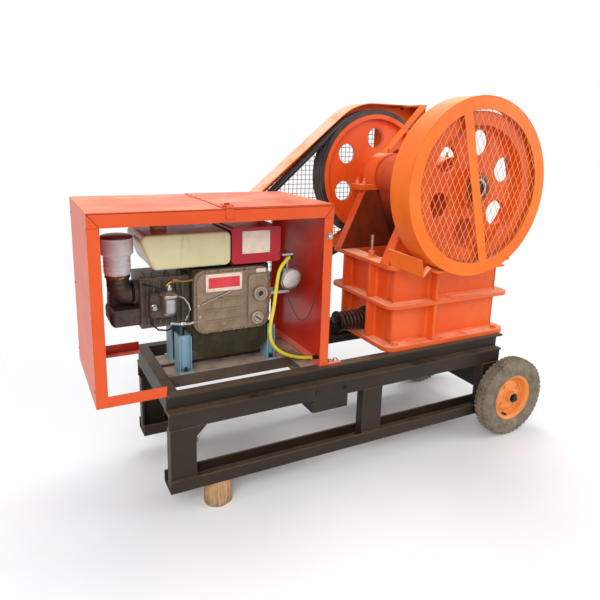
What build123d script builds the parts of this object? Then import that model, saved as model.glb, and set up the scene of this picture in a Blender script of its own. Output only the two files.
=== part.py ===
from build123d import *
from math import acos, asin, atan2, ceil, cos, degrees, hypot, radians, sin, sqrt, tan
import os

# Mobile jaw crusher on a steel skid with two wheels, a horizontal diesel engine and belt drive.
# Layout frame: X along the skid from the end of its beams, Y away from the flywheel side, Z up
# from the ground. The last step shifts everything so that the origin is at the middle of the base.

# Skid
skid_width = 560.0
log_height = 108.0
log_dia = 117.0
log_x = 200.0
rail_width = 100.0
rail_height = 48.0
rail_web = 5.3
rail_flange = 8.5
leg_width = 100.0
leg_depth = 48.0
leg_inset = 9.0
leg_end_gap = 4.0
mid_leg_lead = 120.0
leg_height = 251.0
gusset_reach = 42.0
gusset_plate = 8.0
angle_leg = 63.0
angle_plate = 6.0
beam_height = 80.0
beam_depth = 43.0
beam_web = 5.0
beam_flange = 8.0
bed_rail_width = 100.0
bed_rail_height = 48.0
bed_rail_gap = 28.0
bed_end_x = 560.0
plank_width = 126.0
weld_gap = 0.3

# Wheels and axle
wheel_overhang = 25.0
tyre_radius = 200.0
tyre_width = 84.0
tyre_bead_radius = 104.0
tyre_gap = 12.0
tyre_shoulder_drop = 12.0
tyre_crown_drop = 3.0
tyre_bead_rise = 22.0
rim_flange_radius = 115.0
rim_wall = 4.0
rim_dish = 30.0
hub_radius = 27.0
hub_length = 70.0
hub_setback = 8.0
stub_proud = 10.0
stub_radius = 12.5
axle_beam_size = 60.0
axle_beam_inset = 128.0
run_clearance = 0.05
axle_hanger_width = 80.0
axle_hanger_plate = 10.0
axle_hanger_inset = 20.0

# Box hung under the near beam
box_lead = 249.0
box_length = 174.0
box_depth = 150.0
box_height = 118.0
box_edge = 5.0

# Crusher body
body_gap = 238.0
body_overhang = 43.0
body_length = 730.0
body_edge = 22.0
plate_overhang = 55.0
corner_radius = 54.0
base_thickness = 20.0
body_height = 390.0
flange_thickness = 18.0
mid_rib_thickness = 16.0
mid_rib_height = 195.0
side_wall = 38.0
end_wall = 30.0
rib_width = 56.0
rib_start = 255.0
rib_setback = 8.0

# Bearing cheeks above the body
cheek_thickness = 34.0
cheek_height = 285.0
cheek_foot_front = 560.0
cheek_top_rear = 128.0
cheek_top_front = 420.0
strip_width = 52.0
strip_thickness = 12.0
strip_setback = 1.0

# Shaft, bearings, flywheel and pulley
shaft_rise = 62.7
shaft_radius = 40.0
journal_radius = 52.0
bearing_radius = 118.0
bearing_length = 96.0
bearing_foot_length = 372.0
bearing_foot_height = 26.0
bearing_cap_radius = 86.0
bearing_cap_length = 14.0
barrel_radius = 108.0
barrel_clearance = 6.0
flywheel_radius = 308.0
flywheel_width = 88.0
flywheel_rim = 62.0
flywheel_web = 22.0
flywheel_hub_radius = 78.0
flywheel_hole_radius = 53.0
flywheel_hole_ring = 184.0
spoke_holes = 6
flywheel_hole_angle = 23.0
flywheel_gap = 51.0
hub_taper = 8.0
rim_taper = 6.0
pulley_radius = 328.0
pulley_width = 88.0
pulley_gap = 43.0
pulley_rim = 44.0
pulley_web = 20.0
pulley_hub_radius = 74.0
pulley_hole_radius = 50.0
pulley_hole_ring = 190.0
pulley_hole_angle = 26.0
shaft_proud_near = 6.0
shaft_proud_far = 10.0

# Drive belts and engine pulley
belt_count = 3
belt_pitch = 26.0
belt_top = 17.0
belt_bottom = 9.5
belt_depth = 13.0
belt_proud = 3.0
belt_gap = 0.6
drive_setback = 254.0
drive_rise = 257.7
drive_radius = 105.0
drive_hub_radius = 45.0
engine_wheel_radius = 190.0
engine_wheel_width = 62.0
engine_wheel_rim = 34.0
engine_wheel_web = 22.0
engine_wheel_gap = 21.0

# Jaws
jaw_side_gap = 6.0
jaw_blade = 92.0
jaw_top_run = 72.0
jaw_top_drop = 135.0
jaw_lean_run = 170.0
discharge_gap = 37.0
jaw_foot_rise = 52.7
liner_thickness = 26.0
tooth_height = 12.0
tooth_pitch = 40.0
liner_side_gap = 4.0
fixed_liner_top = 25.0
fixed_liner_foot = 30.0
rod_radius = 12.0
rod_rise = 80.7
rod_hole_gap = 6.0
rod_end_gap = 2.0
rod_reach = 128.0
spring_radius = 48.0
spring_wire = 7.0
spring_turns = 6
washer_thickness = 12.0
washer_radius = 56.0
nut_radius = 22.0
nut_length = 20.0
rod_thread = 8.0

# Flywheel guard
drum_gap = 55.0
drum_sheet = 3.0
drum_lead = 18.0
drum_depth = 122.0
drum_ring_width = 54.0
drum_ring_thickness = 4.0
mesh_sheet = 3.0
mesh_strand = 7.0
diamond_across = 44.0
diamond_along = 88.0
mesh_hold = 24.0
bar_width = 45.0
bar_tilt = 14.5
bar_offset = 28.0
bracket_plate = 8.0
bracket_width = 60.0
bracket_foot = 50.0
bracket_rear_rise = 29.0
bracket_front_rise = 44.5
bracket_lap = 29.0
bracket_setback = 20.0

# Belt guard
guard_side_gap = 84.0
guard_depth = 120.0
guard_sheet = 3.0
guard_shoulder_radius = 344.0
guard_headroom = 364.0
guard_end_run = 345.0
guard_end_drop = 245.0
guard_nose_radius = 150.0
guard_bend = 110.0
guard_low_reach = 330.0
guard_border = 58.0
window_pitch = 62.0
window_wire = 9.0
stay_width = 40.0
stay_thickness = 8.0
stay_lean = 1.0
stay_setback = 20.0
stay_overlap = 14.0
foot_width = 90.0
foot_plate = 10.0
guard_foot_setback = 60.0

# Engine enclosure
case_left_gap = 71.0
case_right_gap = 164.0
case_y = 16.0
case_far_inset = 54.0
case_drop = 5.3
case_headroom = 96.0
case_bar = 40.0
case_top_bar = 50.0
case_sheet = 3.0
case_foot = 66.0

# Engine
block_x = 141.0
block_length = 325.0
block_offset = 108.0
block_width = 235.0
block_rise = 52.7
block_height = 365.0
block_chamfer = 46.0
block_round = 14.0
cover_thickness = 26.0
cover_rise = 108.0
cover_inset = 4.0
cover_corner = 46.0
cover_rim = 10.0
cover_step = 8.0
pad_width = 80.0
pad_drop = 26.0
pad_height = 10.0
pad_corner = 16.0
boss_radius = 26.0
boss_height = 16.0
upper_boss = (107.5, 20.5)
lower_boss = (95.5, -79.5)
lower_boss_radius = 18.0
ridge_count = 3
ridge_height = 5.0
ridge_width = 7.0
ridge_pitch = 44.0
head_length = 186.0
head_inset = 30.0
head_rise = 145.0
head_drop = 25.0
head_rib_proud = 9.0
head_rib_inset = 12.0
head_fin = 8.0
head_fin_pitch = 22.0
elbow_radius = 42.0
elbow_run = 65.0
elbow_rise = 20.0
elbow_bend = 46.0
elbow_flange = 12.0
chest_length = 108.0
chest_width = 140.0
chest_height = 64.0
chest_round = 20.0
cleaner_radius = 55.0
cleaner_drop = 30.0
cleaner_height = 189.0
cleaner_lip = 7.0
cleaner_step = 5.0
cleaner_cap = 18.0
tank_lead = 198.0
tank_length = 350.0
tank_slant = 50.0
tank_rise = 15.0
tank_height = 132.0
tank_corner = 24.0
tank_edge = 10.0
tank_front = 26.0
cap_radius = 30.0
cap_height = 22.0
lug_width = 30.0
lug_length = 120.0
lug_inset = 20.0
lug_end_gap = 2.0
radiator_gap = 4.0
radiator_length = 208.0
radiator_rise = 14.0
radiator_height = 143.0
radiator_setback = 4.0
radiator_neck = 24.0
radiator_corner = 12.0
engine_foot_plate = 8.0
left_foot_width = 50.0
right_foot_width = 34.0
foot_setback = 24.0
foot_depth = 62.0
foot_height = 152.0
foot_flare = 8.0
lamp_radius = 46.0
lamp_depth = 62.0
lamp_reach = 76.0
lamp_side_gap = 37.0
lamp_drop = 55.0
lamp_forward = 10.0
lamp_turn = 10.0
lamp_dip = 14.0
lamp_stalk = 9.0
lamp_rim = 4.0
lamp_bracket = 40.0
lamp_bracket_gap = 24.0
lamp_shelf = 8.0
lamp_shelf_rise = 23.0
lamp_shelf_reach = 12.0
lamp_shelf_forward = 30.0

# Hose and cable
hose_dia = 15.0
hose_seat = 6.7
hose_rest = 0.3
hose_drops = (0.0, 75.0, 165.0, 250.0)
cable_dia = 5.0
cable_seat = 1.5
cable_drops = (58.0, 108.0)
cable_levels = (182.7, 227.7, 332.7, 442.7, 538.7)

# Places that follow from the sizes above
y_half = skid_width / 2
rail_floor = log_height + rail_web
leg_top = rail_floor + leg_height
beam_bottom = leg_top + angle_leg
beam_top = beam_bottom + beam_height
block_end_x = block_x + block_length
block_y = y_half - block_offset
block_far_y = block_y + block_width
block_bottom = beam_top + block_rise
block_top = block_bottom + block_height
cover_bottom = block_bottom + cover_rise
drive_x = block_x + drive_setback
drive_z = beam_top + drive_rise
engine_wheel_y = block_far_y + engine_wheel_gap
head_x = block_x - head_length
head_bottom = block_bottom + head_rise
head_top = block_top - head_drop
head_mid_y = (block_y + block_far_y) / 2
elbow_x = head_x - elbow_run
cleaner_bottom = head_top - cleaner_drop
cleaner_top = cleaner_bottom + cleaner_height
tank_x = block_x - tank_lead
tank_end_x = tank_x + tank_length
tank_bottom = block_top + tank_rise
radiator_x = tank_end_x + radiator_gap
radiator_end_x = radiator_x + radiator_length
radiator_bottom = block_top + radiator_rise
radiator_top = radiator_bottom + radiator_height
lamp_x = max(block_end_x + lamp_reach, radiator_end_x + lamp_side_gap)
lamp_y = block_y - lamp_forward
lamp_z = block_top - lamp_drop
case_x = elbow_x - cleaner_radius - cleaner_lip - case_left_gap
case_end_x = radiator_end_x + case_right_gap
case_foot_x = case_end_x + case_foot
case_far_y = skid_width - case_far_inset
case_z = beam_top - case_drop
case_top_z = radiator_top + case_headroom
body_x = case_foot_x + body_gap
body_end_x = body_x + body_length
body_top = beam_top + body_height
skid_length = body_end_x - body_overhang
wheel_x = skid_length + wheel_overhang
leg_starts = (leg_end_gap, body_x - mid_leg_lead, skid_length - leg_end_gap - leg_width)
box_x = leg_starts[1] - box_lead
wall_y = body_edge + plate_overhang
inner_y = wall_y + side_wall
rear_x = body_x + plate_overhang
front_x = body_end_x - plate_overhang
front_inner_x = front_x - end_wall
mid_rib_z = beam_top + mid_rib_height
cheek_y = inner_y - cheek_thickness
cheek_top = body_top + cheek_height
jaw_foot_x = front_inner_x - 2 * (liner_thickness + tooth_height) - discharge_gap
jaw_face_top_x = jaw_foot_x - jaw_lean_run
shaft_x = jaw_face_top_x - jaw_top_run
shaft_z = cheek_top + shaft_rise
jaw_face_top_z = shaft_z - jaw_top_drop
jaw_foot_z = beam_top + jaw_foot_rise
rod_z = beam_top + rod_rise
bearing_outer_y = inner_y - bearing_length
cap_face_y = bearing_outer_y - bearing_cap_length
fly_back_y = cap_face_y - flywheel_gap
flywheel_front_y = fly_back_y - flywheel_width
pulley_front_y = skid_width - cap_face_y + pulley_gap
pulley_back_y = pulley_front_y + pulley_width
drum_front_y = flywheel_front_y - drum_lead
drum_radius = flywheel_radius + drum_gap + drum_sheet
drum_window_radius = drum_radius - drum_ring_width
guard_far_y = pulley_back_y + guard_side_gap
guard_top_z = shaft_z + guard_headroom
guard_end_x = shaft_x + guard_end_run
guard_end_z = shaft_z - guard_end_drop
x_mid = (case_x + wheel_x + tyre_radius) / 2
y_mid = (drum_front_y + guard_far_y) / 2
skid_middle = Plane((0, y_half, 0), z_dir=(0, 1, 0))

os.makedirs("parts", exist_ok=True)


def span(x0, x1, y0, y1, z0, z1):
    """A block between limits."""
    return Pos((x0 + x1) / 2, (y0 + y1) / 2, (z0 + z1) / 2) * Box(abs(x1 - x0), abs(y1 - y0), abs(z1 - z0))


def rod_along_y(x, z, radius, y0, y1):
    """A round bar along Y."""
    return Pos(x, (y0 + y1) / 2, z) * Rot(90, 0, 0) * Cylinder(radius, abs(y1 - y0))


def rod_along_x(y, z, radius, x0, x1):
    """A round bar along X."""
    return Pos((x0 + x1) / 2, y, z) * Rot(0, 90, 0) * Cylinder(radius, abs(x1 - x0))


def rod_along_z(x, y, radius, z0, z1):
    """A round bar along Z."""
    return Pos(x, y, (z0 + z1) / 2) * Cylinder(radius, abs(z1 - z0))


def side_profile(points, y0, y1):
    """An outline in X and Z, made into a plate between two Y values."""
    face = make_face(Polyline([(x, 0, z) for x, z in points], close=True))
    return Pos(0, y0, 0) * extrude(face, amount=y1 - y0, dir=(0, 1, 0))


def plan_profile(sketch, z0, z1):
    """A sketch in X and Y, made into a plate between two heights."""
    return Pos(0, 0, z0) * extrude(sketch, amount=z1 - z0)


def turned_y(points, x, z):
    """An outline of radius and Y, turned about an axis along Y."""
    face = make_face(Polyline([(r, y, 0) for r, y in points], close=True))
    return Pos(x, 0, z) * revolve(face, Axis.Y)


def turned_z(points, x, y):
    """An outline of radius and height, turned about a vertical axis."""
    face = make_face(Polyline([(r, 0, h) for r, h in points], close=True))
    return Pos(x, y, 0) * revolve(face, Axis.Z)


def far_side(shape):
    """The same piece on the far side of the skid."""
    return mirror(shape, about=skid_middle)


def write(name, shape):
    """Shift a piece to the origin at the middle of the base and export it."""
    export_step(Pos(-x_mid, -y_mid, 0) * shape, f"parts/{name}.step")


# Skid rails, channels laid flat with their flanges up
def lower_rail():
    """Channel with its open side up."""
    outer = span(0, skid_length, 0, rail_width, log_height, log_height + rail_height)
    trough = span(-1, skid_length + 1, rail_flange, rail_width - rail_flange, rail_floor,
                  log_height + rail_height + 1)
    return outer - trough


def leg(x):
    """Upright channel with its web outward, standing in the rail."""
    outer = span(x, x + leg_width, leg_inset, leg_inset + leg_depth, rail_floor, leg_top)
    inside = span(x + rail_flange, x + leg_width - rail_flange, leg_inset + rail_web,
                  leg_inset + leg_depth + 1, rail_floor - 1, leg_top + 1)
    return outer - inside


def legs():
    """Three legs, the end one with a corner gusset."""
    gusset_x = leg_starts[0] + leg_width
    gusset = side_profile([(gusset_x, leg_top - gusset_reach), (gusset_x + gusset_reach, leg_top),
                           (gusset_x, leg_top)], leg_inset, leg_inset + gusset_plate)
    pieces = [leg(leg_starts[0]) + gusset, leg(leg_starts[1]), leg(leg_starts[2])]
    return Compound([p.solid() for p in pieces])


def upper_angle():
    """Angle bar over the legs, its flat leg inward at the top."""
    upright = span(0, skid_length, leg_inset, leg_inset + angle_plate, leg_top, beam_bottom)
    flat = span(0, skid_length, leg_inset, leg_inset + angle_leg, beam_bottom - angle_plate, beam_bottom)
    return upright + flat


def beam():
    """Channel beam with its flanges outward."""
    outer = span(0, skid_length, 0, beam_depth, beam_bottom, beam_top)
    groove = span(-1, skid_length + 1, -1, beam_depth - beam_web, beam_bottom + beam_flange,
                  beam_top - beam_flange)
    return outer - groove


def cross_channel(x, opening):
    """Channel across the end of the skid; opening is +1 when the flanges point to larger X."""
    outer = span(x, x + beam_depth, beam_depth + weld_gap, skid_width - beam_depth - weld_gap,
                 beam_bottom, beam_top)
    if opening > 0:
        groove = span(x + beam_web, x + beam_depth + 1, 0, skid_width, beam_bottom + beam_flange,
                      beam_top - beam_flange)
    else:
        groove = span(x - 1, x + beam_depth - beam_web, 0, skid_width, beam_bottom + beam_flange,
                      beam_top - beam_flange)
    return outer - groove


for side_name, place in (("near", lambda s: s), ("far", far_side)):
    write(f"{side_name}_lower_rail", place(lower_rail()))
    write(f"{side_name}_legs", place(legs()))
    write(f"{side_name}_beam", place(beam() + upper_angle()))
    log_shape = Pos(log_x, rail_width / 2, log_height / 2) * Cone(log_dia / 2, log_dia / 2 - 6, log_height)
    write(f"{side_name}_log", place(log_shape))

write("left_cross_channel", cross_channel(0, 1))
write("right_cross_channel", cross_channel(skid_length - beam_depth, 1))

# Engine bed, two flat channels on the cross channels and a plank across their end
bed_bottom = beam_top - bed_rail_height
bed_start = beam_depth + weld_gap
bed_near_y = y_half - bed_rail_gap / 2 - bed_rail_width


def bed_rail(y):
    """Channel laid with its web up."""
    outer = span(bed_start, bed_end_x, y, y + bed_rail_width, bed_bottom, beam_top)
    under = span(bed_start - 1, bed_end_x + 1, y + rail_flange, y + bed_rail_width - rail_flange,
                 bed_bottom - 1, beam_top - rail_web)
    return outer - under


bed_plank_piece = span(bed_end_x, bed_end_x + plank_width, beam_depth + weld_gap,
                       skid_width - beam_depth - weld_gap, bed_bottom, beam_top)
bed_plank_piece -= span(bed_end_x + rail_flange, bed_end_x + plank_width - rail_flange, 0, skid_width,
                        bed_bottom - 1, beam_top - rail_web)
engine_bed = bed_plank_piece + bed_rail(bed_near_y) + bed_rail(skid_width - bed_near_y - bed_rail_width)
write("engine_bed", engine_bed)

# Box hung from the near angle
box_top = beam_bottom - angle_plate
box_piece = span(box_x, box_x + box_length, leg_inset + angle_plate, leg_inset + angle_plate + box_depth,
                 box_top - box_height, box_top)
write("hanging_box", chamfer(box_piece.edges().filter_by(Axis.Z), box_edge))

# Axle, a square beam hung under the end of the skid with a round stub at each side
stub_end = -tyre_gap - tyre_width / 2 - hub_length / 2 - stub_proud
axle_piece = span(wheel_x - axle_beam_size / 2, wheel_x + axle_beam_size / 2, axle_beam_inset,
                  skid_width - axle_beam_inset, tyre_radius - axle_beam_size / 2,
                  tyre_radius + axle_beam_size / 2)
axle_piece += rod_along_y(wheel_x, tyre_radius, stub_radius, stub_end, skid_width - stub_end)
hanger_near_y = axle_beam_inset + axle_hanger_inset
for hanger_y in (hanger_near_y, skid_width - hanger_near_y - axle_hanger_width):
    axle_piece += span(wheel_x - axle_beam_size / 2, wheel_x - axle_beam_size / 2 + axle_hanger_plate,
                       hanger_y, hanger_y + axle_hanger_width, tyre_radius, beam_bottom)
write("axle", axle_piece)

# Wheels, a ribbed tyre on a dished rim with a tube hub
tyre_mid_y = -tyre_gap - tyre_width / 2
half_tyre = tyre_width / 2
tread_half = half_tyre * 0.62
shoulder_half = half_tyre * 0.86
bead_half = half_tyre * 0.58
shoulder = tyre_radius - tyre_shoulder_drop
cheek_radius = tyre_bead_radius + tyre_bead_rise
belly_radius = (tyre_bead_radius + shoulder) / 2
crown = tyre_radius - tyre_crown_drop
half_line = [(tyre_bead_radius, bead_half), (cheek_radius, shoulder_half), (belly_radius, half_tyre),
             (shoulder, shoulder_half), (crown, tread_half), (tyre_radius, tread_half / 3)]
tyre_line = [(r, -y) for r, y in half_line] + half_line[::-1]
rim_seat = tyre_bead_radius - weld_gap
well = rim_seat - rim_wall
dish = rim_seat - rim_dish
bore = stub_radius + run_clearance
flange_slope = (shoulder_half - bead_half) / tyre_bead_rise
lip_foot = bead_half + weld_gap * 2
lip_tip = lip_foot + (rim_flange_radius - tyre_bead_radius) * flange_slope
rim_line = [
    (bore, -hub_length / 2), (hub_radius, -hub_length / 2), (hub_radius, -hub_setback), (dish, hub_setback),
    (well, -bead_half + rim_wall), (well, -lip_foot - rim_wall), (rim_flange_radius, -lip_tip - rim_wall),
    (rim_flange_radius, -lip_tip), (rim_seat, -lip_foot), (rim_seat, lip_foot), (rim_flange_radius, lip_tip),
    (rim_flange_radius, lip_tip + rim_wall), (well, lip_foot + rim_wall), (well, -bead_half + 3 * rim_wall),
    (dish, hub_setback + rim_wall), (hub_radius, -hub_setback + rim_wall), (hub_radius, hub_length / 2),
    (bore, hub_length / 2),
]
for side_name, place in (("near", lambda s: s), ("far", far_side)):
    tyre_piece = turned_y([(r, y + tyre_mid_y) for r, y in tyre_line], wheel_x, tyre_radius)
    rim_piece = turned_y([(r, y + tyre_mid_y) for r, y in rim_line], wheel_x, tyre_radius)
    write(f"{side_name}_tyre", place(tyre_piece))
    write(f"{side_name}_rim", place(rim_piece))


# Crusher body, four walls with three belts of plate round them
def side_belt(z0, z1):
    """Plate along one side, rounded at both outer corners."""
    outline = Rectangle(body_length, wall_y - body_edge, align=(Align.MIN, Align.MIN))
    corners = outline.vertices().sort_by(Axis.Y)[:2]
    rounded = Pos(body_x, body_edge, 0) * fillet(corners, corner_radius)
    return plan_profile(rounded, z0, z1)


belts = ((beam_top, beam_top + base_thickness), (mid_rib_z, mid_rib_z + mid_rib_thickness),
         (body_top - flange_thickness, body_top))


def side_frame():
    """Side wall with its three belts and one upright rib."""
    piece = span(rear_x, front_x, wall_y, inner_y, beam_top, body_top)
    for z0, z1 in belts:
        piece += side_belt(z0, z1)
    rib_x = body_x + rib_start
    piece += span(rib_x, rib_x + rib_width, body_edge + rib_setback, wall_y, beam_top, body_top)
    return piece


def end_frame(x_wall, x_edge, hole):
    """End wall between the side walls with its belts and a rib."""
    inner_x = x_wall + end_wall if x_edge < x_wall else x_wall - end_wall
    piece = span(x_wall, inner_x, inner_y + weld_gap, skid_width - inner_y - weld_gap, beam_top, body_top)
    for z0, z1 in belts:
        piece += span(x_edge, x_wall, wall_y + weld_gap, skid_width - wall_y - weld_gap, z0, z1)
    rib_edge = x_edge + rib_setback if x_edge < x_wall else x_edge - rib_setback
    piece += span(rib_edge, x_wall, y_half - rib_width / 2, y_half + rib_width / 2, mid_rib_z, body_top)
    if hole:
        piece -= rod_along_x(y_half, rod_z, rod_radius + rod_hole_gap, x_edge - 1, inner_x + 1)
    return piece


write("near_side_frame", side_frame())
write("far_side_frame", far_side(side_frame()))
write("rear_wall", end_frame(rear_x, body_x, True))
write("front_wall", end_frame(front_x, body_end_x, False))

# Cheeks that carry the bearings, each with a sloping strip down its rear edge
strip_slope = atan2(cheek_height, cheek_top_rear)
strip_run = strip_thickness / sin(strip_slope)


def cheek():
    """Side plate that rises from the body to the bearing."""
    rear = body_x + strip_setback + strip_run
    outline = [(rear, body_top), (body_x + cheek_foot_front, body_top), (body_x + cheek_top_front, cheek_top),
               (rear + cheek_top_rear, cheek_top)]
    plate = side_profile(outline, cheek_y, inner_y)
    start = body_x + strip_setback
    foot = [(start, body_top), (start + strip_run, body_top)]
    head = [(start + strip_run + cheek_top_rear, cheek_top), (start + cheek_top_rear, cheek_top)]
    strip = side_profile(foot + head, inner_y - strip_width, inner_y)
    window = rod_along_y(shaft_x, shaft_z, barrel_radius + barrel_clearance, cheek_y - 1, inner_y + 1)
    return plate + strip - window


def bearing():
    """Round bearing housing on a bolted foot, with a cap ring on its outer end."""
    foot_z = cheek_top + weld_gap
    round_body = rod_along_y(shaft_x, shaft_z, bearing_radius, bearing_outer_y, inner_y)
    foot = span(shaft_x - bearing_foot_length / 2, shaft_x + bearing_foot_length / 2, bearing_outer_y,
                inner_y, foot_z, foot_z + bearing_foot_height)
    piece = round_body + foot
    piece -= span(shaft_x - bearing_foot_length, shaft_x + bearing_foot_length, bearing_outer_y - 1,
                  inner_y + 1, foot_z - 2 * bearing_radius, foot_z)
    lower_shell = rod_along_y(shaft_x, shaft_z, bearing_radius, bearing_outer_y, cheek_y - weld_gap)
    piece += lower_shell
    piece += rod_along_y(shaft_x, shaft_z, bearing_cap_radius, cap_face_y, bearing_outer_y)
    piece -= rod_along_y(shaft_x, shaft_z, shaft_radius + run_clearance, cap_face_y - 1, inner_y + 1)
    return piece


write("near_cheek", cheek())
write("far_cheek", far_side(cheek()))
write("near_bearing", bearing())
write("far_bearing", far_side(bearing()))

# Swing jaw, a barrel round the shaft with a heavy blade down to the discharge
jaw_y0 = inner_y + jaw_side_gap
jaw_y1 = skid_width - inner_y - jaw_side_gap
face_run = hypot(jaw_foot_x - jaw_face_top_x, jaw_face_top_z - jaw_foot_z)
face_dx = (jaw_foot_x - jaw_face_top_x) / face_run
face_dz = (jaw_foot_z - jaw_face_top_z) / face_run
blade = side_profile([
    (shaft_x + barrel_radius * 0.72, shaft_z - barrel_radius * 0.2), (jaw_face_top_x, jaw_face_top_z),
    (jaw_foot_x, jaw_foot_z), (jaw_foot_x + face_dz * jaw_blade, jaw_foot_z - face_dx * jaw_blade),
    (shaft_x - barrel_radius * 0.9, shaft_z - barrel_radius * 0.3)], jaw_y0, jaw_y1)
swing = blade + rod_along_y(shaft_x, shaft_z, barrel_radius, jaw_y0, jaw_y1)
swing -= rod_along_y(shaft_x, shaft_z, journal_radius + barrel_clearance / 3, jaw_y0 - 1, jaw_y1 + 1)
rod_socket_x = jaw_foot_x - jaw_blade * 0.45
swing -= rod_along_x(y_half, rod_z, rod_radius + weld_gap, jaw_foot_x - 2 * jaw_blade, rod_socket_x)
write("swing_jaw", swing)


def toothed_plate(width, height):
    """Liner with ridges down its face: X across, Y out of the back, Z down its height."""
    count = int((width - 1) // tooth_pitch)
    start = -count * tooth_pitch / 2
    points = [(-width / 2, 0), (-width / 2, liner_thickness)]
    for i in range(count):
        points.append((start + i * tooth_pitch, liner_thickness))
        points.append((start + (i + 0.5) * tooth_pitch, liner_thickness + tooth_height))
    points += [(-start, liner_thickness), (width / 2, liner_thickness), (width / 2, 0)]
    face = make_face(Polyline([(x, y, 0) for x, y in points], close=True))
    return extrude(face, amount=height, dir=(0, 0, 1))


liner_width = jaw_y1 - jaw_y0 - 2 * liner_side_gap
swing_liner_length = face_run - 2 * liner_side_gap
swing_plane = Plane(
    origin=(jaw_face_top_x + face_dx * liner_side_gap, y_half, jaw_face_top_z + face_dz * liner_side_gap),
    x_dir=(0, 1, 0), z_dir=(face_dx, 0, face_dz))
swing_liner = toothed_plate(liner_width, swing_liner_length)
write("swing_jaw_plate", swing_plane * swing_liner)
fixed_liner_base = beam_top + fixed_liner_foot
fixed_liner = toothed_plate(liner_width, body_top + fixed_liner_top - fixed_liner_base)
fixed_plane = Plane(origin=(front_inner_x, y_half, fixed_liner_base), x_dir=(0, 1, 0), z_dir=(0, 0, 1))
write("fixed_jaw_plate", fixed_plane * fixed_liner)

# Tension rod from the foot of the swing jaw out through the rear wall, with its spring
rod_tip = rear_x - rod_reach
spring_seat = rod_tip + nut_length + rod_thread
spring_inner = spring_seat + washer_thickness
tension_rod = rod_along_x(y_half, rod_z, rod_radius, rod_tip, rod_socket_x - rod_end_gap)
tension_rod += rod_along_x(y_half, rod_z, washer_radius, spring_seat, spring_inner)
hexagon = extrude(RegularPolygon(nut_radius, 6), amount=nut_length)
tension_rod += Pos(spring_seat - nut_length, y_half, rod_z) * Rot(0, 90, 0) * hexagon
write("tension_rod", tension_rod)
spring_length = rear_x - spring_inner - 2 * spring_wire
coil = Helix(pitch=spring_length / spring_turns, height=spring_length, radius=spring_radius - spring_wire)
coil_section = Plane(origin=coil @ 0, z_dir=coil % 0) * Circle(spring_wire)
spring = sweep(coil_section, path=coil, is_frenet=True)
write("tension_spring", Pos(spring_inner + spring_wire, y_half, rod_z) * Rot(0, 90, 0) * spring)

# Rotor: stepped shaft, spoked flywheel and grooved pulley
shaft_start = flywheel_front_y - shaft_proud_near
shaft_end = pulley_back_y + shaft_proud_far
shaft_piece = rod_along_y(shaft_x, shaft_z, shaft_radius, shaft_start, shaft_end)
shaft_piece += rod_along_y(shaft_x, shaft_z, journal_radius, jaw_y0, jaw_y1)
write("eccentric_shaft", shaft_piece)


def holed(piece, ring, radius, first, y0, y1):
    """Cut a ring of round lightening holes."""
    for i in range(spoke_holes):
        a = radians(first + 360 / spoke_holes * i)
        piece -= rod_along_y(shaft_x + ring * cos(a), shaft_z + ring * sin(a), radius, y0 - 1, y1 + 1)
    return piece


fly_web_y = flywheel_front_y + (flywheel_width - flywheel_web) / 2
fly_web_back = fly_web_y + flywheel_web
fly_rim_in = flywheel_radius - flywheel_rim
fly_line = [
    (shaft_radius, flywheel_front_y), (flywheel_hub_radius, flywheel_front_y),
    (flywheel_hub_radius + hub_taper, fly_web_y), (fly_rim_in, fly_web_y),
    (fly_rim_in + rim_taper, flywheel_front_y), (flywheel_radius, flywheel_front_y),
    (flywheel_radius, fly_back_y), (fly_rim_in + rim_taper, fly_back_y), (fly_rim_in, fly_web_back),
    (flywheel_hub_radius + hub_taper, fly_web_back), (flywheel_hub_radius, fly_back_y),
    (shaft_radius, fly_back_y),
]
flywheel = holed(turned_y(fly_line, shaft_x, shaft_z), flywheel_hole_ring, flywheel_hole_radius,
                 flywheel_hole_angle, flywheel_front_y, fly_back_y)
write("flywheel", flywheel)


def groove_line(radius, y0, width):
    """Rim outline from its front edge to its back edge with one V groove for each belt."""
    middle = y0 + width / 2
    top = belt_top / 2 + belt_gap
    bottom = belt_bottom / 2 + belt_gap
    depth = belt_depth - belt_proud + belt_gap
    points = [(radius, y0)]
    for i in range(belt_count):
        c = middle + (i - (belt_count - 1) / 2) * belt_pitch
        points += [(radius, c - top), (radius - depth, c - bottom)]
        points += [(radius - depth, c + bottom), (radius, c + top)]
    points.append((radius, y0 + width))
    return points


pulley_web_y = pulley_front_y + (pulley_width - pulley_web) / 2
pulley_web_back = pulley_web_y + pulley_web
pulley_rim_in = pulley_radius - pulley_rim
pulley_line = [(shaft_radius, pulley_front_y), (pulley_hub_radius, pulley_front_y),
               (pulley_hub_radius, pulley_web_y), (pulley_rim_in, pulley_web_y),
               (pulley_rim_in, pulley_front_y)]
pulley_line += groove_line(pulley_radius, pulley_front_y, pulley_width)
pulley_line += [(pulley_rim_in, pulley_back_y), (pulley_rim_in, pulley_web_back),
                (pulley_hub_radius, pulley_web_back), (pulley_hub_radius, pulley_back_y),
                (shaft_radius, pulley_back_y)]
pulley = holed(turned_y(pulley_line, shaft_x, shaft_z), pulley_hole_ring, pulley_hole_radius,
               pulley_hole_angle, pulley_front_y, pulley_back_y)
write("crusher_pulley", pulley)

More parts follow.
